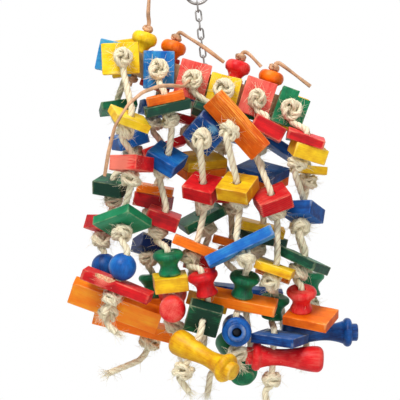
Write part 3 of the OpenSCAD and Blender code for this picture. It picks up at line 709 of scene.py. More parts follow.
class Nodes:
    """Short calls to place and link the nodes of one tree."""

    def __init__(self, tree):
        self.tree = tree

    def add(self, kind, inputs=None, **settings):
        node = self.tree.nodes.new(kind)
        for key, value in settings.items():
            setattr(node, key, value)
        for key, value in (inputs or {}).items():
            if isinstance(value, bpy.types.NodeSocket):
                self.tree.links.new(value, node.inputs[key])
            else:
                node.inputs[key].default_value = value
        return node

    def math(self, operation, a, b=0.0):
        return self.add("ShaderNodeMath", {0: a, 1: b}, operation=operation).outputs[0]

    def mix(self, factor, a, b):
        """Goes from colour a to colour b."""
        a, b = (c if isinstance(c, bpy.types.NodeSocket) else (*c[:3], 1) for c in (a, b))
        node = self.add("ShaderNodeMix", {0: factor, 6: a, 7: b}, data_type="RGBA")
        return node.outputs[2]

    def spread(self, value, low, high, to_low=0.0, to_high=1.0):
        node = self.add("ShaderNodeMapRange",
                        {0: value, 1: low, 2: high, 3: to_low, 4: to_high})
        return node.outputs[0]

    def noise(self, vector, scale, detail=3.0, rough=0.55):
        node = self.add("ShaderNodeTexNoise",
                        {"Vector": vector, "Scale": scale, "Detail": detail, "Roughness": rough})
        return node.outputs["Fac"]

    def stretched(self, vector, scale):
        node = self.add("ShaderNodeMapping", {"Vector": vector, "Scale": scale})
        return node.outputs["Vector"]

    def own_place(self):
        """Where a point lies on its piece."""
        return self.add("ShaderNodeTexCoord").outputs["Object"]


def toned(colour, by, more=0.0):
    """A colour times a number, with some light added, up to full light."""
    return tuple(min(1, c * by + more) for c in colour)


def new_material(name):
    material = bpy.data.materials.new(name)
    material.use_nodes = True
    tree = material.node_tree
    tree.nodes.clear()
    return material, Nodes(tree)


def shaded(nodes, colour, roughness, height, distance, **sockets):
    """Joins colour, roughness and height to one Principled shader."""
    bump = nodes.add("ShaderNodeBump", {"Height": height, "Strength": 0.8, "Distance": distance})
    values = {"Base Color": colour, "Roughness": roughness, "Normal": bump.outputs[0]}
    shader = nodes.add("ShaderNodeBsdfPrincipled", values)
    for key, value in sockets.items():
        shader.inputs[key.replace("_", " ")].default_value = value
    nodes.add("ShaderNodeOutputMaterial", {"Surface": shader.outputs[0]})


def dyed_wood(shade, saw_depth):
    """Dye that soaks unevenly into the grain, pale where edges are rubbed, darker on end grain from
    soaked dye and painted shade, with painted shade on the long sides and deep in bores.
    """
    soaked, plain, faded = (linear(code) for code in DYES[shade])
    material, n = new_material("dyed_" + shade)
    attribute = {key: n.add("ShaderNodeAttribute", attribute_name=key)
                 for key in ("grain", "wear", "tone", "ends", "lathe", "scuff", "saw")}
    grain = attribute["grain"].outputs["Vector"]
    wear, tone, ends, lathe = (
        attribute[key].outputs["Fac"] for key in ("wear", "tone", "ends", "lathe"))
    fibre = n.noise(n.stretched(grain, (55, 900, 900)), 1.0, 4.0, 0.6)
    band = n.noise(n.stretched(grain, (9, 120, 120)), 1.0, 3.0, 0.5)
    blotch = n.noise(n.stretched(grain, (70, 70, 70)), 1.0, 3.0, 0.6)
    pore = n.noise(n.stretched(grain, (160, 2600, 2600)), 1.0, 2.0, 0.5)
    # Dye: base, then soaked and faded with the piece's own tone, then grain bands and blotches
    level = n.math("ADD", tone, n.spread(blotch, 0.3, 0.7, -0.38, 0.3))
    level = n.math("ADD", level, n.spread(band, 0.3, 0.7, -0.3, 0.22))
    level = n.math("ADD", level, n.spread(fibre, 0.3, 0.7, -0.26, 0.2))
    # End grain darker from soaked dye and painted shade; the long sides darker as painted shade
    level = n.math("SUBTRACT", level, n.math("MULTIPLY", ends, 0.6))
    dark = n.mix(n.spread(level, 0.0, -1.0), plain, soaked)
    colour = n.mix(n.spread(level, 0.05, 1.1), dark, faded)
    pits = n.math("MULTIPLY", n.spread(pore, 0.62, 0.72), n.math("SUBTRACT", 1.0, lathe))
    colour = n.mix(n.math("MULTIPLY", pits, 0.35), colour, soaked)
    # Rubbed edges show pale wood under the dye
    bare = tuple(0.45 * c + 0.55 * w for c, w in zip(faded, linear("#f0d7a8")))
    rub = n.math("MULTIPLY", n.spread(wear, 0.45, 1.0), n.spread(blotch, 0.42, 0.62))
    colour = n.mix(n.math("MULTIPLY", rub, 0.45), colour, bare)
    # Painted shade: points with negative wear, deep in the spindles' bores, are painted near black
    colour = n.mix(n.spread(wear, -0.2, -1.0), colour, toned(soaked, 0.12))
    # Rubbed spots: dye scratched thin along the grain
    away = n.add("ShaderNodeVectorMath", {0: attribute["scuff"].outputs["Vector"]},
                 operation="LENGTH").outputs["Value"]
    away = n.math("ADD", away, n.spread(fibre, 0.3, 0.7, -0.6, 0.6))
    rubbed = tuple(0.8 * f + 0.2 * b for f, b in zip(faded, bare))
    colour = n.mix(n.spread(away, 1.0, 0.5, 0.0, 0.85), colour, rubbed)
    # Marks of the saw run across the grain, turning marks round it
    saw = n.noise(n.stretched(grain, (1500, 30, 30)), 1.0, 2.0, 0.5)
    height = n.math("ADD", n.math("MULTIPLY", fibre, 0.7), n.math("MULTIPLY", saw, 0.6))
    height = n.math("SUBTRACT", height, n.math("MULTIPLY", pits, 0.5))
    # Slanting kerfs on the pieces that were left rough
    slant = n.add("ShaderNodeVectorMath", {0: grain, 1: (2600, 1700, 2600)},
                  operation="DOT_PRODUCT").outputs["Value"]
    slant = n.math("ADD", slant, n.math("MULTIPLY", blotch, 7.0))
    kerf = n.math("MULTIPLY", n.spread(n.math("SINE", slant), 0.1, 1.0),
                  attribute["saw"].outputs["Fac"])
    height = n.math("SUBTRACT", height, n.math("MULTIPLY", kerf, 2.2))
    colour = n.mix(n.math("MULTIPLY", kerf, 0.55), colour, soaked)
    rough = n.spread(fibre, 0.3, 0.7, 0.42, 0.6)
    rough = n.math("SUBTRACT", rough, n.math("MULTIPLY", lathe, 0.12))
    shaded(n, colour, rough, height, saw_depth, Specular_IOR_Level=0.22)
    return material


def bitten_wood():
    """Torn pale fibres with a trace of the red dye."""
    material, n = new_material("bitten_wood")
    place_of = n.own_place()
    fibre = n.noise(n.stretched(place_of, (160, 700, 700)), 1.0, 4.0, 0.65)
    blotch = n.noise(place_of, 160, 3.0)
    pale = n.mix(n.spread(fibre, 0.35, 0.65), linear("#c98a62"), linear("#f0cda2"))
    mixed = n.mix(n.spread(blotch, 0.5, 0.7, 0.0, 0.7), pale, linear("#d9564a"))
    shaded(n, mixed, 0.75, fibre, 0.0006, Specular_IOR_Level=0.2)
    return material


def pine_wood(colour):
    material, n = new_material("bare_pine")
    place_of = n.own_place()
    laid = n.add("ShaderNodeMapping", {"Vector": place_of, "Rotation": (0, math.radians(-17), 0),
                                       "Scale": (1, 1, 1)}).outputs[0]
    ring = n.noise(n.stretched(laid, (9, 160, 110)), 1.0, 3.0)
    fibre = n.noise(n.stretched(laid, (60, 1200, 1200)), 1.0, 3.0)
    tone = n.math("ADD", n.math("MULTIPLY", ring, 0.7), n.math("MULTIPLY", fibre, 0.3))
    mixed = n.mix(n.spread(tone, 0.35, 0.65), toned(colour, 0.62), colour)
    shaded(n, mixed, n.spread(fibre, 0.3, 0.7, 0.5, 0.7), fibre, 0.0002)
    return material


def sisal_fibre(colour, shade):
    """Rope: fibres along the strands, with painted brown shade in the grooves between them."""
    material, n = new_material("sisal_rope")
    lay = n.add("ShaderNodeAttribute", attribute_name="lay").outputs["Vector"]
    groove = n.add("ShaderNodeAttribute", attribute_name="groove").outputs["Fac"]
    fibre = n.noise(n.stretched(lay, (22, 6, 22)), 1.0, 4.0, 0.7)
    strand = n.noise(n.stretched(lay, (7, 2.5, 7)), 1.0, 2.0)
    place_of = n.own_place()
    patch = n.noise(place_of, 90, 3.0)
    tone = n.math("ADD", n.math("MULTIPLY", fibre, 0.55), n.math("MULTIPLY", strand, 0.25))
    tone = n.math("ADD", tone, n.math("MULTIPLY", patch, 0.2))
    dull = tuple(0.5 * c + 0.4 * d for c, d in zip(colour, shade))
    mixed = n.mix(n.spread(tone, 0.34, 0.53), dull, toned(colour, 1.12, 0.03))
    # Painted shade in the grooves between the strands
    mixed = n.mix(n.spread(groove, 0.3, 1.0, 0.0, 0.55), mixed, shade)
    mixed = n.mix(n.spread(patch, 0.62, 0.8, 0.0, 0.35), mixed, shade)
    shaded(n, mixed, 0.85, fibre, 0.0007, Specular_IOR_Level=0.15)
    return material


def loose_fibre(colour):
    material, n = new_material("sisal_fibres")
    place_of = n.own_place()
    patch = n.noise(place_of, 300, 2.0)
    mixed = n.mix(n.spread(patch, 0.3, 0.7), toned(colour, 0.8), toned(colour, 1.15, 0.05))
    shaded(n, mixed, 0.8, patch, 0.0001)
    return material


def tanned_leather(colour):
    material, n = new_material("tanned_leather")
    place_of = n.own_place()
    patch = n.noise(place_of, 120, 3.0)
    pebble = n.noise(place_of, 1400, 2.0)
    tone = n.math("ADD", n.math("MULTIPLY", patch, 0.7), n.math("MULTIPLY", pebble, 0.3))
    mixed = n.mix(n.spread(tone, 0.36, 0.64), toned(colour, 0.55), toned(colour, 1.15))
    shaded(n, mixed, n.spread(pebble, 0.3, 0.7, 0.45, 0.65), pebble, 0.0002)
    return material


def plated_steel(colour):
    material, n = new_material("plated_steel")
    place_of = n.own_place()
    cloud = n.noise(place_of, 260, 3.0)
    scratch = n.noise(n.stretched(place_of, (900, 900, 4000)), 1.0, 2.0)
    mixed = n.mix(n.spread(cloud, 0.35, 0.65), toned(colour, 0.6), toned(colour, 1.25))
    shaded(n, mixed, n.spread(cloud, 0.3, 0.7, 0.28, 0.45), scratch, 0.00005, Metallic=0.9)
    return material


def dyes():
    finishes = bpy.context.scene.chew_toy_finishes
    return {shade: bpy.data.materials.get("dyed_" + shade) or dyed_wood(shade, finishes.saw_depth)
            for shade in DYES}


# ---------------------------------------------------------------- ropes by Geometry Nodes


# Sisal: strands, depth of their grooves on rope and knot, width of a knot's strand in
# millimetres and its lay in metres, and how far the material's fibres are drawn along the rope
STRANDS, ROPE_GROOVE, KNOT_GROOVE = 3, 0.22, 0.24
KNOT_STRAND, KNOT_LAY, LAY_SCALE = 4.4, 0.017, 40.0
# Loose fibres, as shares of their length: bend and taper; then half a turn in radians
FIBRE_BEND, FIBRE_TAPER, FIBRE_SPIN = 0.45, 0.6, 3.14
# Domed plug under the brush: its points round, its rings, and width and height in rope widths
DOME_STEPS, DOME_RINGS, DOME_WIDE, DOME_HIGH = 14, 4, 0.46, 0.16


def node_tree(name, inputs):
    """A Geometry Nodes tree with named inputs; returns it with the identifier of each."""
    tree = bpy.data.node_groups.new(name, "GeometryNodeTree")
    tree.interface.new_socket("Geometry", in_out="INPUT", socket_type="NodeSocketGeometry")
    identifiers = {}
    for label, kind, default in inputs:
        socket = tree.interface.new_socket(label, in_out="INPUT", socket_type=kind)
        if default is not None:
            socket.default_value = default
        identifiers[label] = socket.identifier
    tree.interface.new_socket("Geometry", in_out="OUTPUT", socket_type="NodeSocketGeometry")
    n = Nodes(tree)
    return n, n.add("NodeGroupInput"), n.add("NodeGroupOutput"), identifiers


def stored(n, geometry, name, value, kind="FLOAT"):
    """Keeps a value on the points of a geometry."""
    return n.add("GeometryNodeStoreNamedAttribute", {
        "Geometry": geometry.outputs[0], "Name": name, "Value": value},
        data_type=kind, domain="POINT")


def close_tree(n, geometry, start, end, names):
    """Ends a tree in real geometry with its material; the tree keeps its inputs' identifiers."""
    real = n.add("GeometryNodeRealizeInstances", {"Geometry": geometry.outputs[0]})
    done = n.add("GeometryNodeSetMaterial", {"Geometry": real.outputs[0],
                                             "Material": start.outputs["Finish"]})
    n.tree.links.new(done.outputs[0], end.inputs["Geometry"])
    n.tree["inputs"] = json.dumps(names)
    return n.tree, names


def strand_tree():
    """Lays strands round a route: the tilt grows along it and the profile has a lobe for each."""
    if "laid_rope" in bpy.data.node_groups:
        tree = bpy.data.node_groups["laid_rope"]
        return tree, json.loads(tree["inputs"])
    n, start, end, names = node_tree("laid_rope", [
        ("Width", "NodeSocketFloat", ROPE_D * MM), ("Lay", "NodeSocketFloat", 0.024),
        ("Strands", "NodeSocketInt", 3), ("Groove", "NodeSocketFloat", 0.25),
        ("Flatness", "NodeSocketFloat", 1.0), ("Finish", "NodeSocketMaterial", None)])
    along = n.add("GeometryNodeSplineParameter").outputs["Length"]
    turns = n.math("DIVIDE", along, start.outputs["Lay"])
    tilt = n.math("MULTIPLY", turns, 2 * math.pi)
    normal = n.add("GeometryNodeSetCurveNormal", {"Curve": start.outputs["Geometry"]})
    tilted = n.add("GeometryNodeSetCurveTilt", {"Curve": normal.outputs[0], "Tilt": tilt})
    guide = stored(n, tilted, "route", along)
    # Profile: a circle whose radius dips between the strands
    circle = n.add("GeometryNodeCurvePrimitiveCircle", {"Resolution": 18}, mode="RADIUS")
    factor = n.add("GeometryNodeSplineParameter").outputs["Factor"]
    angle = n.math("MULTIPLY", factor, math.pi)
    wave = n.math("ABSOLUTE", n.math("COSINE", n.math("MULTIPLY", angle, start.outputs["Strands"])))
    dip = n.math("POWER", n.math("SUBTRACT", 1.0, wave), 2.0)
    radius = n.math("SUBTRACT", 1.0, n.math("MULTIPLY", dip, start.outputs["Groove"]))
    radius = n.math("MULTIPLY", radius, n.math("MULTIPLY", start.outputs["Width"], 0.5))
    at = n.add("GeometryNodeInputPosition")
    scaled = n.add("ShaderNodeVectorMath", {0: at.outputs[0], "Scale": radius}, operation="SCALE")
    flat = n.add("ShaderNodeCombineXYZ", {0: 1.0, 1: start.outputs["Flatness"], 2: 1.0})
    squashed = n.add("ShaderNodeVectorMath", {0: scaled.outputs[0], 1: flat.outputs[0]},
                     operation="MULTIPLY")
    shaped = n.add("GeometryNodeSetPosition", {"Geometry": circle.outputs[0],
                                               "Position": squashed.outputs[0]})
    profile = stored(n, stored(n, shaped, "groove", dip), "turn", factor)
    tube = n.add("GeometryNodeCurveToMesh", {
        "Curve": guide.outputs[0], "Profile Curve": profile.outputs[0], "Fill Caps": True})
    # What the fibres of the material follow: round the rope as X and Z, along it as Y
    route, turn = (n.add("GeometryNodeInputNamedAttribute", {"Name": label},
                         data_type="FLOAT").outputs["Attribute"] for label in ("route", "turn"))
    tau = n.math("MULTIPLY", turn, 2 * math.pi)
    lay = n.add("ShaderNodeCombineXYZ", {
        0: n.math("COSINE", tau), 1: n.math("MULTIPLY", route, LAY_SCALE),
        2: n.math("SINE", tau)})
    laid = stored(n, tube, "lay", lay.outputs[0], "FLOAT_VECTOR")
    smooth = n.add("GeometryNodeSetShadeSmooth", {"Geometry": laid.outputs[0]})
    return close_tree(n, smooth, start, end, names)


def fibre_tree():
    """Loose fibres that stand from a surface: bent, thin and random, from one seed."""
    if "loose_fibres" in bpy.data.node_groups:
        tree = bpy.data.node_groups["loose_fibres"]
        return tree, json.loads(tree["inputs"])
    n, start, end, names = node_tree("loose_fibres", [
        ("Density", "NodeSocketFloat", 20000.0), ("Shortest", "NodeSocketFloat", 0.002),
        ("Longest", "NodeSocketFloat", 0.008), ("Spread", "NodeSocketFloat", 1.0),
        ("Thickness", "NodeSocketFloat", 0.03), ("Rarity", "NodeSocketFloat", 1.0),
        ("Seed", "NodeSocketInt", 7), ("Finish", "NodeSocketMaterial", None)])
    spots = n.add("GeometryNodeDistributePointsOnFaces", {
        "Mesh": start.outputs["Geometry"], "Density": start.outputs["Density"],
        "Seed": start.outputs["Seed"]}, distribute_method="RANDOM")
    line = n.add("GeometryNodeCurvePrimitiveLine", {"End": (0, 0, 1)})
    cut = n.add("GeometryNodeResampleCurve", {"Curve": line.outputs[0], "Count": 3})
    factor = n.add("GeometryNodeSplineParameter").outputs["Factor"]
    aside = n.math("MULTIPLY", n.math("POWER", factor, 2.0), FIBRE_BEND)
    bend = n.add("ShaderNodeCombineXYZ", {0: aside})
    bent = n.add("GeometryNodeSetPosition", {"Geometry": cut.outputs[0], "Offset": bend.outputs[0]})
    taper = n.math("SUBTRACT", 1.0, n.math("MULTIPLY", factor, FIBRE_TAPER))
    thin = n.add("GeometryNodeSetCurveRadius", {"Curve": bent.outputs[0], "Radius": taper})
    ring = n.add("GeometryNodeCurvePrimitiveCircle", {
        "Resolution": 3, "Radius": start.outputs["Thickness"]}, mode="RADIUS")
    hair = n.add("GeometryNodeCurveToMesh", {
        "Curve": thin.outputs[0], "Profile Curve": ring.outputs[0], "Fill Caps": True})
    if "Scale" in hair.inputs:
        n.tree.links.new(taper, hair.inputs["Scale"])
    lean = start.outputs["Spread"]
    other_way = n.math("MULTIPLY", lean, -1.0)
    tip_low = n.add("ShaderNodeCombineXYZ", {0: other_way, 1: other_way, 2: -FIBRE_SPIN})
    tip_high = n.add("ShaderNodeCombineXYZ", {0: lean, 1: lean, 2: FIBRE_SPIN})
    random_turn = n.add("FunctionNodeRandomValue", {
        0: tip_low.outputs[0], 1: tip_high.outputs[0], "Seed": start.outputs["Seed"]},
        data_type="FLOAT_VECTOR")
    turn = n.add("FunctionNodeRotateRotation", {
        "Rotation": spots.outputs["Rotation"], "Rotate By": random_turn.outputs[0]},
        rotation_space="LOCAL")
    chance = n.add("FunctionNodeRandomValue", {
        2: 0.0, 3: 1.0, "Seed": n.math("ADD", start.outputs["Seed"], 3.0)}, data_type="FLOAT")
    # Most fibres are short; a few reach the longest
    size = n.add("ShaderNodeMapRange", {
        0: n.math("POWER", chance.outputs[1], start.outputs["Rarity"]), 1: 0.0, 2: 1.0,
        3: start.outputs["Shortest"], 4: start.outputs["Longest"]})
    planted = n.add("GeometryNodeInstanceOnPoints", {
        "Points": spots.outputs["Points"], "Instance": hair.outputs[0],
        "Rotation": turn.outputs[0], "Scale": size.outputs[0]})
    return close_tree(n, planted, start, end, names)


def made_plain(source, name, tree, names, values):
    """Runs a tree on an object and keeps the result as a plain mesh object of its own."""
    modifier = source.modifiers.new(tree.name, "NODES")
    modifier.node_group = tree
    for label, value in values.items():
        modifier[names[label]] = value
    mesh = plain_mesh(source)
    mesh.name = name
    source.modifiers.remove(modifier)
    return linked(name, mesh)


def curve_of(name, splines):
    """One curve object with a poly spline for each list of points; (points, closed)."""
    data = bpy.data.curves.new(name, "CURVE")
    data.dimensions = "3D"
    for points, closed in splines:
        spline = data.splines.new("POLY")
        spline.points.add(len(points) - 1)
        for point, at in zip(spline.points, points):
            point.co = (*at, 1)
        spline.use_cyclic_u = closed
    return linked(name, data)


def lay_rope(name, splines, width, lay, strands, groove, flatness, finish):
    """A rope, lace or knot from its routes; the guide curve is removed."""
    guide = curve_of(name + "_guide", splines)
    tree, names = strand_tree()
    obj = made_plain(guide, name, tree, names, {
        "Width": width, "Lay": lay, "Strands": strands, "Groove": groove,
        "Flatness": flatness, "Finish": finish})
    drop(guide)
    return obj


def drop(obj):
    data = obj.data
    bpy.data.objects.remove(obj)
    if isinstance(data, bpy.types.Curve):
        bpy.data.curves.remove(data)
    else:
        bpy.data.meshes.remove(data)


def knot_loops(matrix, width, length, strand, seed, steps=54):
    """Closed lines of the strands tied round a rope; matrix turns +Z along it, from its top."""
    rng = random.Random(seed)
    spin = rng.uniform(0, 2 * math.pi)
    hand = rng.choice((-1, 1))
    squash = rng.uniform(0.9, 1.0)
    wide, high = (width - strand) / 2, (length - strand) / 2
    lines = []
    # The knot itself: a trefoil that keeps clear of the rope in its middle
    points = []
    for k in range(steps):
        t = 2 * math.pi * k / steps
        x = (math.sin(t) + 2 * math.sin(2 * t)) * wide / 3
        y = (math.cos(t) - 2 * math.cos(2 * t)) * wide / 3 * squash
        out = max(math.hypot(x, y), 0.01)
        grow = max(1, strand * 0.5 / out) * (1 + 0.1 * math.sin(2 * t + spin * 3))
        points.append((x * grow, y * grow, -math.sin(3 * t + 0.3 * math.sin(t + spin)) * high))
    lines.append(points)
    # Three turns laid round it aslant
    for turn in range(3):
        lean = rng.uniform(0.55, 0.98) * (1 if turn else -1)
        way = rng.uniform(0, math.pi) + turn * 1.3
        points = []
        for k in range(steps // 2):
            t = 4 * math.pi * k / steps
            wave = 1 + 0.09 * math.sin(3 * t + way) - 0.04 * turn
            points.append((math.cos(t) * wide * wave, math.sin(t) * wide * wave * squash,
                           math.sin(t - way) * high * lean))
        lines.append(points)
    turn = matrix @ Matrix.Translation((0, 0, length / 2)) @ Matrix.Rotation(spin, 4, "Z")
    return [[(turn @ Vector((x, y * hand, z))) * MM for x, y, z in points] for points in lines]


def rope_knots(i, side):
    """Frames of every knot on one rope: the top knot, then one under each piece that has one."""
    rows, plates, _ = (table[i] for table in SIDES[side])
    top = MIDDLE + top_knot_place(i, side, plates)
    facing = Matrix.Rotation(math.radians(-90 * side), 4, "X")
    frames = [Matrix.Translation(top) @ facing @ Matrix.Translation((0, 0, -KNOT_L / 2))]
    for k, row in enumerate(rows):
        if row[4]:
            frames.append(world_of(rows, k) @ Matrix.Translation((0, 0, -thick(row) / 2 - SEAT))
                          @ Matrix.Rotation(math.pi, 4, "X"))
    return frames


ROPES = [(i, side, f"rope_{'front' if side < 0 else 'back'}_{i + 1}")
         for side in (-1, 1) for i in range(6)]


# ---------------------------------------------------------------- operators


# Camera: place in metres, sensor and lens in millimetres
CAMERA_AT, CAMERA_SENSOR, CAMERA_LENS = (0.00285, -1.385, -0.2128), 36, 127.9
# Lamps: name, place, width and power, and the point that they face
LAMPS = (("key", (-0.9, -1.9, 2.0), 1.3, 80), ("fill", (0.9, -1.9, -0.5), 1.4, 15),
         ("top", (0.1, -0.1, 1.5), 1.0, 12), ("back", (0.2, 1.6, 0.3), 1.6, 4))
LAMPS_FACE = (0, 0, -0.22)
# Light that the white world gives to things, and the corners of the floor
WORLD_LIGHT = 0.27
FLOOR_X, FLOOR_FRONT, FLOOR_BACK, FLOOR_Z = 1.6, -2.0, 1.4, -0.85
# Bite in the red plank: place and turn of each gouge, their radius, and how far their middle
# lies in from the side and above the face; then the corner and size of what the step takes off
GOUGES, GOUGE_R, GOUGE_IN, GOUGE_UP = ((-15, 0.4), (-7, 1.9)), 8.0, 2, 4.8
STEP_FROM, STEP_SIZE = (2, -8, 14.4), (30, 16, 36)


class CHEWTOY_OT_stage(bpy.types.Operator):
    """Camera at the photograph's view, soft lamps, a pale floor and a white world"""
    bl_idname = "chewtoy.stage"
    bl_label = "Stage"

    def execute(self, context):
        scene = context.scene
        scene.view_settings.view_transform = "Standard"
        camera = linked("camera", bpy.data.cameras.new("camera"))
        camera.location = CAMERA_AT
        camera.rotation_euler = (math.pi / 2, 0, 0)
        camera.data.sensor_width, camera.data.lens = CAMERA_SENSOR, CAMERA_LENS
        camera.data.clip_start, camera.data.clip_end = 0.01, 50
        scene.camera = camera
        for lamp in LAMPS:
            self.lamp(*lamp)
        self.world(scene)
        self.floor()
        return {"FINISHED"}

    def lamp(self, name, at, size, power):
        data = bpy.data.lights.new("lamp_" + name, "AREA")
        data.shape = "SQUARE"
        data.size = size
        data.energy = power
        obj = linked("lamp_" + name, data)
        obj.location = at
        aim = Vector(LAMPS_FACE) - Vector(at)
        obj.rotation_euler = aim.to_track_quat("-Z", "Y").to_euler()

    def world(self, scene):
        world = bpy.data.worlds.new("white_room")
        scene.world = world
        world.use_nodes = True
        world.node_tree.nodes.clear()
        n = Nodes(world.node_tree)
        strength = n.spread(self.seen(n), 0.0, 1.0, WORLD_LIGHT, 1.0)
        shader = n.add("ShaderNodeBackground", {"Color": (1, 1, 1, 1), "Strength": strength})
        n.add("ShaderNodeOutputWorld", {"Surface": shader.outputs[0]})

    def seen(self, n):
        """1 for the rays that show a thing, 0 for those that carry its light to others."""
        path = n.add("ShaderNodeLightPath")
        seen = n.math("MAXIMUM", path.outputs["Is Camera Ray"], path.outputs["Is Glossy Ray"])
        return n.math("MAXIMUM", seen, path.outputs["Is Transmission Ray"])

    def floor(self):
        mesh = bpy.data.meshes.new("floor")
        mesh.from_pydata([(-FLOOR_X, FLOOR_FRONT, FLOOR_Z), (FLOOR_X, FLOOR_FRONT, FLOOR_Z),
                          (FLOOR_X, FLOOR_BACK, FLOOR_Z), (-FLOOR_X, FLOOR_BACK, FLOOR_Z)], [],
                         [(0, 1, 2, 3)])
        floor = linked("floor", mesh)
        material, n = new_material("pale_floor")
        matt = n.add("ShaderNodeBsdfPrincipled",
                     {"Base Color": (0.8, 0.8, 0.8, 1), "Roughness": 0.9})
        bright = n.add("ShaderNodeEmission", {"Color": (0.94, 0.94, 0.94, 1)})
        both = n.add("ShaderNodeMixShader", {0: n.math("MULTIPLY", self.seen(n), 0.65)})
        n.tree.links.new(matt.outputs[0], both.inputs[1])
        n.tree.links.new(bright.outputs[0], both.inputs[2])
        n.add("ShaderNodeOutputMaterial", {"Surface": both.outputs[0]})
        mesh.materials.append(material)


class CHEWTOY_OT_ropes(bpy.types.Operator):
    """Twelve lengths of laid sisal rope, each with its knots"""
    bl_idname = "chewtoy.ropes"
    bl_label = "Ropes and knots"

    def execute(self, context):
        sizes = context.scene.chew_toy_sizes
        finishes = context.scene.chew_toy_finishes
        finish = sisal_fibre(tuple(finishes.sisal), tuple(finishes.sisal_dark_and_groove_shade))
        for i, side, name in ROPES:
            route = rope_line(i, side)
            rope = lay_rope(name + "_laid", [(route, False)], sizes.rope_width, sizes.rope_pitch,
                            STRANDS, ROPE_GROOVE, 1.0, finish)
            finish_piece(rope, "sisal", name)
            loops = []
            for k, knot in enumerate(rope_knots(i, side)):
                rng = random.Random(i * 97 + side * 13 + k)
                wide = sizes.knot_width / MM * rng.uniform(1.1, 1.28)
                high = KNOT_L * rng.uniform(1.1, 1.3)
                loops += [(line, True) for line in
                          knot_loops(knot, wide, high, KNOT_STRAND, i * 31 + side * 7 + k)]
            knots = lay_rope(name + "_knots", loops, KNOT_STRAND * MM, KNOT_LAY, STRANDS,
                             KNOT_GROOVE, 1.0, finish)
            finish_piece(knots, "sisal", "knots_top", "knots_front" if side < 0 else "knots_back")
        return {"FINISHED"}


class CHEWTOY_OT_fibres(bpy.types.Operator):
    """Loose fibres on the ropes and knots, and the frayed brush at each rope's end"""
    bl_idname = "chewtoy.fibres"
    bl_label = "Loose fibres"

    def execute(self, context):
        sizes = context.scene.chew_toy_sizes
        finishes = context.scene.chew_toy_finishes
        finish = loose_fibre(tuple(finishes.sisal))
        tree, names = fibre_tree()
        for i, side, name in ROPES:
            for part, crowd in (("_laid", 1.0), ("_knots", 1.4)):
                source = bpy.data.objects[name + part]
                obj = made_plain(source, name + part + "_fibres", tree, names, {
                    "Density": sizes.fibre_density * crowd, "Shortest": 0.0016,
                    "Longest": sizes.fibre_length, "Spread": 1.2, "Thickness": 0.022,
                    "Rarity": 2.2, "Seed": finishes.seed + i * 5 + side, "Finish": finish})
                finish_piece(obj, "sisal")
            self.brush(name, i, side, tree, names, finish, finishes.seed)
        return {"FINISHED"}

    def brush(self, name, i, side, tree, names, finish, seed):
        """A domed plug at the rope's end carries long fibres that fan out."""
        route = rope_line(i, side)
        way = (route[-1] - route[-5]).normalized()
        turn = way.to_track_quat("Z", "Y").to_matrix()
        points, faces = [], []
        steps, rings = DOME_STEPS, DOME_RINGS
        for r in range(rings + 1):
            a = math.radians(90 * r / rings) * 0.98
            for k in range(steps):
                t = 2 * math.pi * k / steps
                p = Vector((math.cos(t) * math.cos(a), math.sin(t) * math.cos(a),
                            math.sin(a) * DOME_HIGH))
                points.append(route[-1] + turn @ (p * ROPE_D * DOME_WIDE * MM))
        for r in range(rings):
            for k in range(steps):
                a, b = r * steps + k, r * steps + (k + 1) % steps
                faces.append((a, b, b + steps, a + steps))
        faces.append(tuple(rings * steps + k for k in range(steps)))
        faces.append(tuple(reversed(range(steps))))
        mesh = bpy.data.meshes.new(name + "_brush")
        mesh.from_pydata([tuple(p) for p in points], [], faces)
        plug = linked(name + "_brush_plug", mesh)
        obj = made_plain(plug, name + "_brush", tree, names, {
            "Density": 2600000.0, "Shortest": 0.003, "Longest": 0.011, "Spread": 0.3,
            "Thickness": 0.016, "Seed": seed + i * 3 + side, "Finish": finish})
        drop(plug)
        finish_piece(obj, "sisal")


class CHEWTOY_OT_strings(bpy.types.Operator):
    """Four leather strings with their knots, and the long strip across the front"""
    bl_idname = "chewtoy.strings"
    bl_label = "Strings and strip"

    def execute(self, context):
        sizes = context.scene.chew_toy_sizes
        finish = tanned_leather(tuple(context.scene.chew_toy_finishes.leather))
        for i in range(4):
            route = smooth_route(string_route(i), STRING_STEP, STRING_ROUNDS)
            string = lay_rope(f"string_{i + 1}_lace", [(route, False)], sizes.string_width, 0.09,
                              2, 0.1, 0.82, finish)
            finish_piece(string, "hide", f"string_{i + 1}")
            tops = [BOARD_H / 2 + BEAD_H + 2 * SEAT, -BOARD_H / 2 - SEAT - STRING_KNOT_L]
            loops = [(line, True) for k, z in enumerate(tops) for line in knot_loops(
                BOARD_FRAME @ Matrix.Translation((STRING_AT[i], 0, z)), STRING_KNOT_D + 1,
                STRING_KNOT_L, 3.2, 31 + i * 2 + k, 40)]
            knots = lay_rope(f"string_{i + 1}_knots", loops, 3.4 * MM, 0.06, 2, 0.1, 0.85, finish)
            finish_piece(knots, "hide", "string_knots")
        route = smooth_route(STRIP_ROUTE, STRING_STEP, STRIP_ROUNDS)
        strip = lay_rope("leather_strip_cut", [(route, False)], STRIP_W * MM, 0.16, 2, 0.06,
                         0.78, finish)
        finish_piece(strip, "hide", "leather_strip")
        return {"FINISHED"}


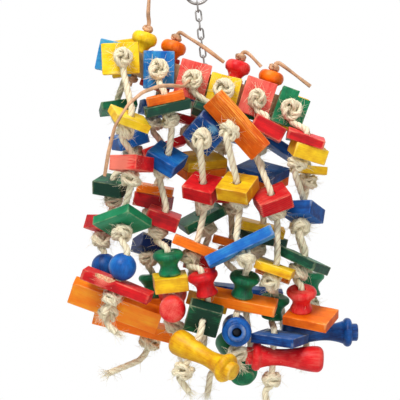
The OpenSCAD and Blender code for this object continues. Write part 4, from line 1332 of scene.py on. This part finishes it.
class CHEWTOY_OT_sawn(bpy.types.Operator):
    """Dyed plates, blocks and planks with sanded edges, grain of their own and rubbed holes"""
    bl_idname = "chewtoy.sawn"
    bl_label = "Sawn pieces"

    def execute(self, context):
        edge = context.scene.chew_toy_sizes.edge_round / MM
        materials = dyes()
        forms = (("plates", (PLATE,)), ("wide", (WIDE,)), ("blocks", (BLOCK,)),
                 ("planks", (PLANK, LONG)))
        for shade, (node, kinds) in ((shade, form) for shade in DYES for form in forms):
            name = f"{node}_{shade}"
            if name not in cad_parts:
                continue
            work = Woodwork()
            for seed, rows, k, mark in rows_of(shade, kinds):
                row = rows[k]
                sawn_piece(work, KIND[row[1]], row[5], world_of(rows, k), row[6], seed, edge, mark)
            if node == "plates":
                self.top_plates(work, shade, edge)
            obj = work.build(name + "_dyed", materials[shade])
            if name == "planks_red":
                obj = self.bitten(obj)
            if name == "plates_green":
                obj = self.stepped(obj, materials[shade])
            finish_piece(obj, "stain_" + shade, name)
        return {"FINISHED"}

    def top_plates(self, work, shade, edge):
        for side, (_, table, _) in SIDES.items():
            for i, plates in enumerate(table):
                for k, (colour, roll, yaw, shift, tone) in enumerate(plates):
                    if colour != shade:
                        continue
                    size = KIND[PLATE]
                    out = BOARD_D / 2 + SEAT + size[2] / 2 + k * (size[2] + SEAT)
                    at = MIDDLE + hole_place(i) + Vector((0, side * out, 0))
                    matrix = Matrix.Translation(at) @ turned((side * 90, roll, yaw)).to_4x4()
                    sawn_piece(work, size, shift, matrix, tone, 200 + i * 5 + k + side * 37, edge)

    def bitten(self, obj):
        """Gouges the mark of a beak out of the edge of the long red plank."""
        frame_of = world_of(FRONT[0], 4)
        _, width, height = KIND[PLANK]
        bare = bpy.data.materials.get("bitten_wood") or bitten_wood()
        for n, (x, turn) in enumerate(GOUGES):
            at = Vector((x, -width / 2 + GOUGE_IN, height / 2 + GOUGE_UP))
            tool = gouge_tool(frame_of, at, GOUGE_R, 50 + n, turn, bare)
            obj = cut_out(obj, tool, frame_of, 0.1, SCUFFS[(-1, 0, 4)])
        return obj

    def stepped(self, obj, dye):
        """Saws the step out of the last plate of the top row."""
        low = Matrix.Translation(MIDDLE + hole_place(5) - Vector((0, 18, 0)))
        low = low @ Matrix.Rotation(math.radians(20), 4, "Y")
        mesh = bpy.data.meshes.new("step_tool")
        (x0, y0, z0), (wide, deep, high) = STEP_FROM, STEP_SIZE
        corners = [(x0 + x * wide, y0 + y * deep, z0 + z * high)
                   for x in (0, 1) for y in (0, 1) for z in (0, 1)]
        mesh.from_pydata([tuple((low @ Vector(c)) * MM) for c in corners], [], [
            (0, 1, 3, 2), (4, 6, 7, 5), (0, 4, 5, 1), (2, 3, 7, 6), (0, 2, 6, 4), (1, 5, 7, 3)])
        mesh.materials.append(dye)
        tool = linked("step_tool", mesh)
        plate = Matrix.Translation(MIDDLE + hole_place(5) - Vector((0, 14.3, 0)))
        return cut_out(obj, tool, plate @ turned((-90, 20, 90)).to_4x4(), 0.0, None)


class CHEWTOY_OT_turned(bpy.types.Operator):
    """Balls, spools, spindles and the four top beads, turned on a lathe and dyed"""
    bl_idname = "chewtoy.turned"
    bl_label = "Turned pieces"

    def execute(self, context):
        materials = dyes()
        groups = [(BLUE, BALL, "balls_blue"), (RED, SPOOL, "spools_red"),
                  (GREEN, SPOOL, "spools_green"), (YELLOW, SPINDLE, "spindle_yellow"),
                  (BLUE, SPINDLE, "spindles_blue"), (RED, SPINDLE, "spindle_red"),
                  (GREEN, SPINDLE, "spindle_green")]
        for shade, kind, node in groups:
            work = Woodwork()
            for seed, rows, k, _ in rows_of(shade, (kind,)):
                matrix, row = world_of(rows, k), rows[k]
                if kind == BALL:
                    lathe_piece(work, ball_profile(), matrix, row[6], seed, True)
                elif kind == SPOOL:
                    lathe_piece(work, spool_profile(), matrix, row[6], seed, True)
                else:
                    matrix = matrix @ Matrix.Translation((-SPINDLE_L / 2 - row[5], 0, 0))
                    lathe_piece(work, spindle_profile(shade == BLUE), matrix, row[6], seed,
                                False, along_x=True)
            finish_piece(work.build(node + "_turned", materials[shade]), "stain_" + shade, node)
        for shade, node, spots, tone in ((YELLOW, "bead_yellow", (0,), -0.1),
                                         (ORANGE, "beads_orange", (1, 3), -0.4),
                                         (RED, "bead_red", (2,), 0.15)):
            work = Woodwork()
            for i in spots:
                matrix = BOARD_FRAME @ Matrix.Translation((STRING_AT[i], 0, BOARD_H / 2 + SEAT))
                lathe_piece(work, bead_profile(), matrix, tone, 300 + i, True)
            finish_piece(work.build(node + "_turned", materials[shade]), "stain_" + shade, node)
        return {"FINISHED"}


class CHEWTOY_OT_board(bpy.types.Operator):
    """The pine board that the ropes and strings pass through"""
    bl_idname = "chewtoy.board"
    bl_label = "Top board"

    def execute(self, context):
        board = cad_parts["top_board"]
        material = pine_wood(tuple(context.scene.chew_toy_finishes.pine))
        board.data.materials.clear()
        board.data.materials.append(material)
        bevel = board.modifiers.new("sanded_edge", "BEVEL")
        bevel.width = context.scene.chew_toy_sizes.edge_round
        bevel.segments = 2
        bevel.limit_method = "ANGLE"
        return {"FINISHED"}


class CHEWTOY_OT_steel(bpy.types.Operator):
    """Hang ring, chain and screw eye in plated steel"""
    bl_idname = "chewtoy.steel"
    bl_label = "Chain and ring"

    def execute(self, context):
        material = plated_steel(tuple(context.scene.chew_toy_finishes.steel))
        for node in ("hang_ring", "chain", "screw_eye"):
            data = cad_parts[node].data
            data.materials.clear()
            data.materials.append(material)
        return {"FINISHED"}


class CHEWTOY_PT_panel(bpy.types.Panel):
    bl_label = "Chew toy"
    bl_idname = "CHEWTOY_PT_panel"
    bl_space_type = "VIEW_3D"
    bl_region_type = "UI"
    bl_category = "Chew toy"

    def draw(self, context):
        column = self.layout.column()
        for group in (context.scene.chew_toy_sizes, context.scene.chew_toy_finishes):
            for name in group.__annotations__:
                column.prop(group, name)
        for operator in OPERATORS:
            column.operator(operator.bl_idname)


OPERATORS = (CHEWTOY_OT_stage, CHEWTOY_OT_ropes, CHEWTOY_OT_strings, CHEWTOY_OT_fibres,
             CHEWTOY_OT_sawn, CHEWTOY_OT_turned, CHEWTOY_OT_board, CHEWTOY_OT_steel)
CLASSES = (ToySizes, ToyFinishes) + OPERATORS + (CHEWTOY_PT_panel,)


def register():
    for cls in CLASSES:
        bpy.utils.register_class(cls)
    bpy.types.Scene.chew_toy_sizes = PointerProperty(type=ToySizes)
    bpy.types.Scene.chew_toy_finishes = PointerProperty(type=ToyFinishes)


def unregister():
    del bpy.types.Scene.chew_toy_sizes
    del bpy.types.Scene.chew_toy_finishes
    for cls in reversed(CLASSES):
        bpy.utils.unregister_class(cls)


def main():
    register()
    for operator in OPERATORS:
        group, name = operator.bl_idname.split(".")
        getattr(getattr(bpy.ops, group), name)()


if __name__ == "__main__":
    main()
